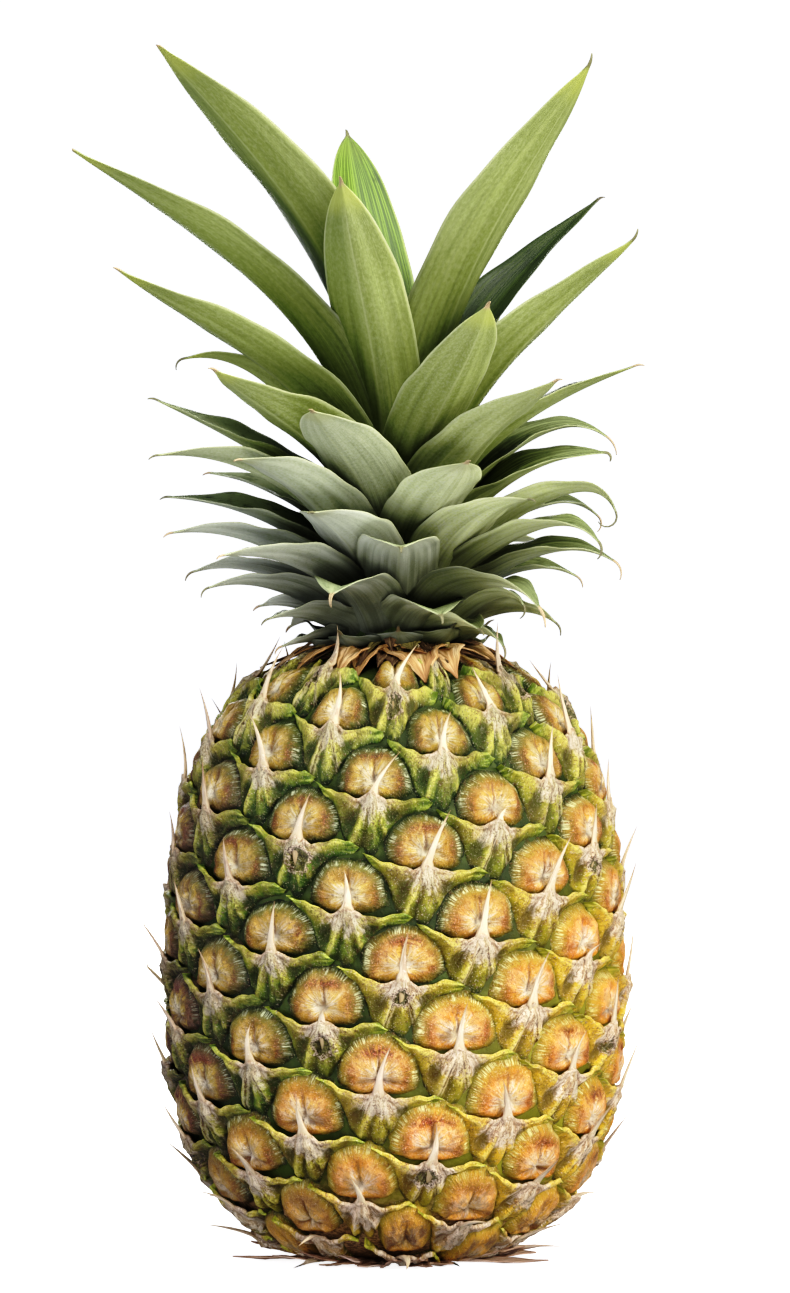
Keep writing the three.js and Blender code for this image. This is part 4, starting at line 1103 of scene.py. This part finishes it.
def rag(azimuth, r, z, half, fold, seed):
    """A dry papery strip along (r, z) with a folded section and a ragged edge."""
    random = np.random.default_rng(seed)
    out, side, up = directions(azimuth)
    t = np.linspace(0, 1, RAG_RINGS)[:, None]
    u = np.linspace(-1, 1, RAG_COLUMNS)[None, :]
    right_torn, left_torn = (random.uniform(-0.2, 0.2, (RAG_RINGS, 1)) for _ in range(2))
    torn = 1 + right_torn * (u > 0) + left_torn * (u < 0)
    sway = random.uniform(-1, 1) * 0.08 * (r - r[0])
    sway = sway + random.uniform(-0.8, 0.8) * np.sin(3 * t[:, 0] + random.uniform(0, 6))
    x = sway[:, None] + half[:, None] * u * torn
    wrinkle = 0.5 * np.sin(u * 4 + random.uniform(0, 6) + 3 * t) * np.sin(7 * t + random.uniform(0, 6))
    wrinkle = wrinkle + 0.3 * np.sin(u * 9 + random.uniform(0, 6)) * np.sin(13 * t + random.uniform(0, 6))
    twist = random.uniform(-0.35, 0.35) * t * u * half[:, None]
    lift = (wrinkle + twist) * np.minimum(1, half[:, None] / 3)
    lift = lift + fold * half[:, None] * (1 - np.abs(u) ** 1.3)
    strip = []
    for thickness, floor_gap in ((0, 0.35), (RAG_THICKNESS, 0.05)):
        height = np.maximum(z[:, None] + lift - thickness, floor_gap)
        strip.append(r[:, None, None] * out + x[..., None] * side + height[..., None] * up)
    return np.stack(strip)


def rags(name, strips, material, node):
    seeds = np.random.default_rng(77).uniform(0, 1, len(strips))
    attributes = {"along": np.linspace(0, 1, RAG_RINGS)[:, None], "across": np.linspace(-1, 1, RAG_COLUMNS),
                  "seed": seeds[:, None, None, None]}
    one = shell_faces(RAG_RINGS, RAG_COLUMNS, flip=True)
    faces = repeat_faces(one, len(strips), 2 * RAG_RINGS * RAG_COLUMNS)
    return piece(name, np.stack(strips), faces, material, node, attributes)


# Layers of dry bracts round the neck: count, first azimuth, root radius and height, reach, tip height,
# half width, fold and seed. Reach, tip and width are low and high limits.
NECK_STRIPS = [(26, 5, (13.5, 179.0), (30, 40), (168.5, 173.5), (1.6, 3.4), 0.5, 540),
               (20, 14, (13.5, 181.0), (26, 34), (171.0, 178.0), (1.2, 2.6), 0.7, 580),
               (26, 3, (14.0, 176.0), (29, 35), (172.0, 174.5), (3.4, 5.0), 0.3, 660)]
NECK_FRINGE = (22, 0, (13.0, 180.0), (21, 27), (173.5, 178.5), (3.0, 5.0), 0.25, 620)


def neck_layer(count, first, root, reach, tip_z, half_width, fold, seed):
    random = np.random.default_rng(seed)
    t = np.linspace(0, 1, RAG_RINGS)
    strips = []
    for k in range(count):
        azimuth = first + (k + random.uniform(-0.35, 0.35)) * 360 / count
        far, end, wide = (random.uniform(*limits) for limits in (reach, tip_z, half_width))
        r = root[0] + (far - root[0]) * t
        z = root[1] + (end - root[1]) * t ** 1.3 + random.uniform(0.2, 2.0) * np.sin(math.pi * t)
        half = np.maximum(0.15, wide * np.minimum(0.7 + t, 1 - t ** random.uniform(1.3, 3.0)))
        strips.append(rag(azimuth, r, z, half, fold * random.uniform(-0.6, 1), seed + 1 + k))
    return strips


def neck():
    t = np.linspace(0, 1, RAG_RINGS)
    strips = []
    for k, (azimuth, reach, tip_z, half_width, lift) in enumerate(NECK_BRACTS):
        r = NECK_BORE + (reach - NECK_BORE - 3) * t
        z = NECK_ROOT_Z + (tip_z - 2.0 - NECK_ROOT_Z) * t ** 3 + lift * 2 * t * (1 - t)
        half = np.maximum(0.2, 1.35 * half_width * np.minimum(0.8 + 0.8 * t, 1.15 * (1 - t ** 1.8)))
        strips.append(rag(azimuth, r, z, half, -0.15, 500 + k))
    rags("neck_rags", strips, NECK_PAPER, "neck_bracts")
    strips = [strip for layer in NECK_STRIPS for strip in neck_layer(*layer)]
    rags("neck_strips", strips, STRIP_PAPER, "neck_bracts")
    rags("neck_fringe", neck_layer(*NECK_FRINGE), FRINGE_PAPER, "neck_bracts")


# The cut stalk: radius, height.
STALK = [(10.4, 0.0), (11.6, 0.4), (12.0, 1.6), (12.0, 8.2), (11.4, 9.0)]


def stalk():
    revolve("stalk_stub", STALK, STALK_PAPER, "peduncle",
            sides=48, bottom=0, height=9, cycles=3, seed=0.6)
    t = np.linspace(0, 1, RAG_RINGS)
    strips = []
    for k, (azimuth, reach) in enumerate(BASAL_BRACTS):
        r = BASAL_ROOT + (reach - BASAL_ROOT) * t
        half = np.maximum(0.2, BASAL_HALF_WIDTH * (1 - t ** 1.6))
        strips.append(rag(azimuth, r, 0.5 + 1.4 * t ** 3, half, 0.05, 700 + k))
    random = np.random.default_rng(760)
    for k in range(SKIRT_COUNT):
        reach, tip_z = random.uniform(*SKIRT_REACH), random.uniform(*SKIRT_TIP_Z)
        r = SKIRT_ROOT + (reach - SKIRT_ROOT) * t
        z = 0.6 + (tip_z - 0.6) * t ** 2.2
        half = random.uniform(*SKIRT_HALF_WIDTH)
        half = half * np.minimum(0.7 + 0.6 * t, 1 - t ** random.uniform(1.8, 3.5))
        azimuth = (k + random.uniform(-0.3, 0.3)) * 360 / SKIRT_COUNT
        strips.append(rag(azimuth, r, z, np.maximum(0.2, half), 0.1, 780 + k))
    return rags("basal_rags", strips, STALK_PAPER, "peduncle")


# ------------------------------------------------------- stage and lighting
FLOOR_RADIUS, SWEEP_RADIUS, WALL_TOP = 5.0, 2.0, 7.0
FLOOR_SIDES = 96


def stage():
    """White round floor that sweeps up into a wall on every side."""
    sweep = np.linspace(0.1, math.pi / 2, 12)
    profile = [(0.4, 0.0), (2.0, 0.0), (FLOOR_RADIUS, 0.0)]
    profile += [(FLOOR_RADIUS + SWEEP_RADIUS * math.sin(a), SWEEP_RADIUS * (1 - math.cos(a)))
                for a in sweep]
    profile.append((FLOOR_RADIUS + SWEEP_RADIUS, WALL_TOP))
    points = [(r * math.sin(a), r * math.cos(a), z) for r, z in profile
              for a in np.linspace(0, 2 * math.pi, FLOOR_SIDES, endpoint=False)]
    faces = grid_faces(len(profile), FLOOR_SIDES, closed=True)
    faces.append(tuple(range(FLOOR_SIDES - 1, -1, -1)))
    mesh = bpy.data.meshes.new("floor")
    mesh.from_pydata(points, [], faces)
    mesh.polygons.foreach_set("use_smooth", [True] * len(faces))
    s = Shader("pale_floor")
    tint = s.noise(s.node("ShaderNodeTexCoord").outputs["Object"], 6.0, 2.0)
    s.put(s.bsdf.inputs["Emission Color"], "fbfbfa")
    s.base = s.mix(tint, "f2f2f0", "f8f8f7")
    mesh.materials.append(s.finish(0.9, Emission_Strength=0.82, Specular_IOR_Level=0.1))
    floor = bpy.data.objects.new("floor", mesh)
    floor.visible_diffuse = False
    floor.visible_glossy = False
    bpy.context.scene.collection.objects.link(floor)


# Lamps: name, place, height they aim at on the fruit's axis, size, power, colour.
LAMPS = [
    ("key", (1.39, -0.82, 0.7), 0.19, 0.45, 33, (1, 0.98, 1.02)),
    ("top", (0.0, -0.75, 1.6), 0.2, 0.6, 26, (1, 1, 1)),
    ("bounce", (-1.0, -0.4, 0.04), 0.21, 0.5, 8.5, (0.97, 0.97, 1.3)),
    ("floor_bounce", (0.06, -0.36, 0.02), 0.03, 0.25, 1.4, (1, 0.98, 1.15)),
    ("back", (-0.1, 1.6, 0.6), 0.17, 0.9, 24, (1, 1, 1)),
]
# Contrast of the picture, in linear light.
TONE_CURVE = [(0.05, 0.02), (0.12, 0.098), (0.3, 0.33), (0.6, 0.7)]
SKY_COLOUR, SKY_STRENGTH = (0.92, 0.97, 1.2, 1), 0.25


def lighting():
    scene = bpy.context.scene
    scene.world = bpy.data.worlds.new("studio")
    scene.world.use_nodes = True
    background = scene.world.node_tree.nodes["Background"]
    background.inputs["Color"].default_value = SKY_COLOUR
    background.inputs["Strength"].default_value = SKY_STRENGTH
    for name, location, aim, size, energy, tint in LAMPS:
        data = bpy.data.lights.new(name, "AREA")
        data.size = size
        data.energy = energy
        data.color = tint
        light = bpy.data.objects.new(name, data)
        light.location = location
        light.visible_camera = False
        ahead = Vector((0, 0, aim)) - Vector(location)
        light.rotation_euler = ahead.to_track_quat("-Z", "Y").to_euler()
        scene.collection.objects.link(light)
    scene.view_settings.view_transform = "Standard"
    scene.view_settings.use_curve_mapping = True
    mapping = scene.view_settings.curve_mapping
    for point in TONE_CURVE:
        mapping.curves[3].points.new(*point)
    mapping.update()


PHOTO_HEIGHT_PX = 1293
MM_PER_PIXEL = 0.2931       # in the plane of the fruit's axis
CAMERA_DISTANCE, CAMERA_HEIGHT = 1.4, 0.1783
SENSOR_HEIGHT = 36.0


def camera():
    data = bpy.data.cameras.new("camera")
    data.sensor_fit = "VERTICAL"
    data.sensor_height = SENSOR_HEIGHT
    data.lens = SENSOR_HEIGHT * CAMERA_DISTANCE / (PHOTO_HEIGHT_PX * MM_PER_PIXEL * MM)
    data.clip_end = 20
    obj = bpy.data.objects.new("camera", data)
    obj.location = (0, -CAMERA_DISTANCE, CAMERA_HEIGHT)
    obj.rotation_euler = (math.pi / 2, 0, 0)
    bpy.context.scene.collection.objects.link(obj)
    bpy.context.scene.camera = obj


LEAF = leaf_material()
STEM_PAPER = paper_material("stem_fibre", "2f3c1a", "4f6030", "7c8a4e")
NECK_PAPER = paper_material("neck_paper", "6e4629", "b8935f", "e8d09e")
STRIP_PAPER = paper_material("strip_paper", "30241a", "645038", "a08a66")
FRINGE_PAPER = paper_material("fringe_paper", "4d4426", "8d8450", "b9ac78")
STALK_PAPER = paper_material("stalk_paper", "6a4c38", "a88a6c", "e0cab0")

rind()
eye_discs()
eye_bracts()
spines()
crown_stem()
leaves("base_scales", BASE_SCALES, first_seed=70)
leaves("leaves_low", LOW_LEAVES, first_seed=0)
leaves("leaves_middle", MIDDLE_LEAVES, first_seed=18)
leaves("leaves_top", TOP_LEAVES, first_seed=38)
neck()
stalk()
stage()
lighting()
camera()
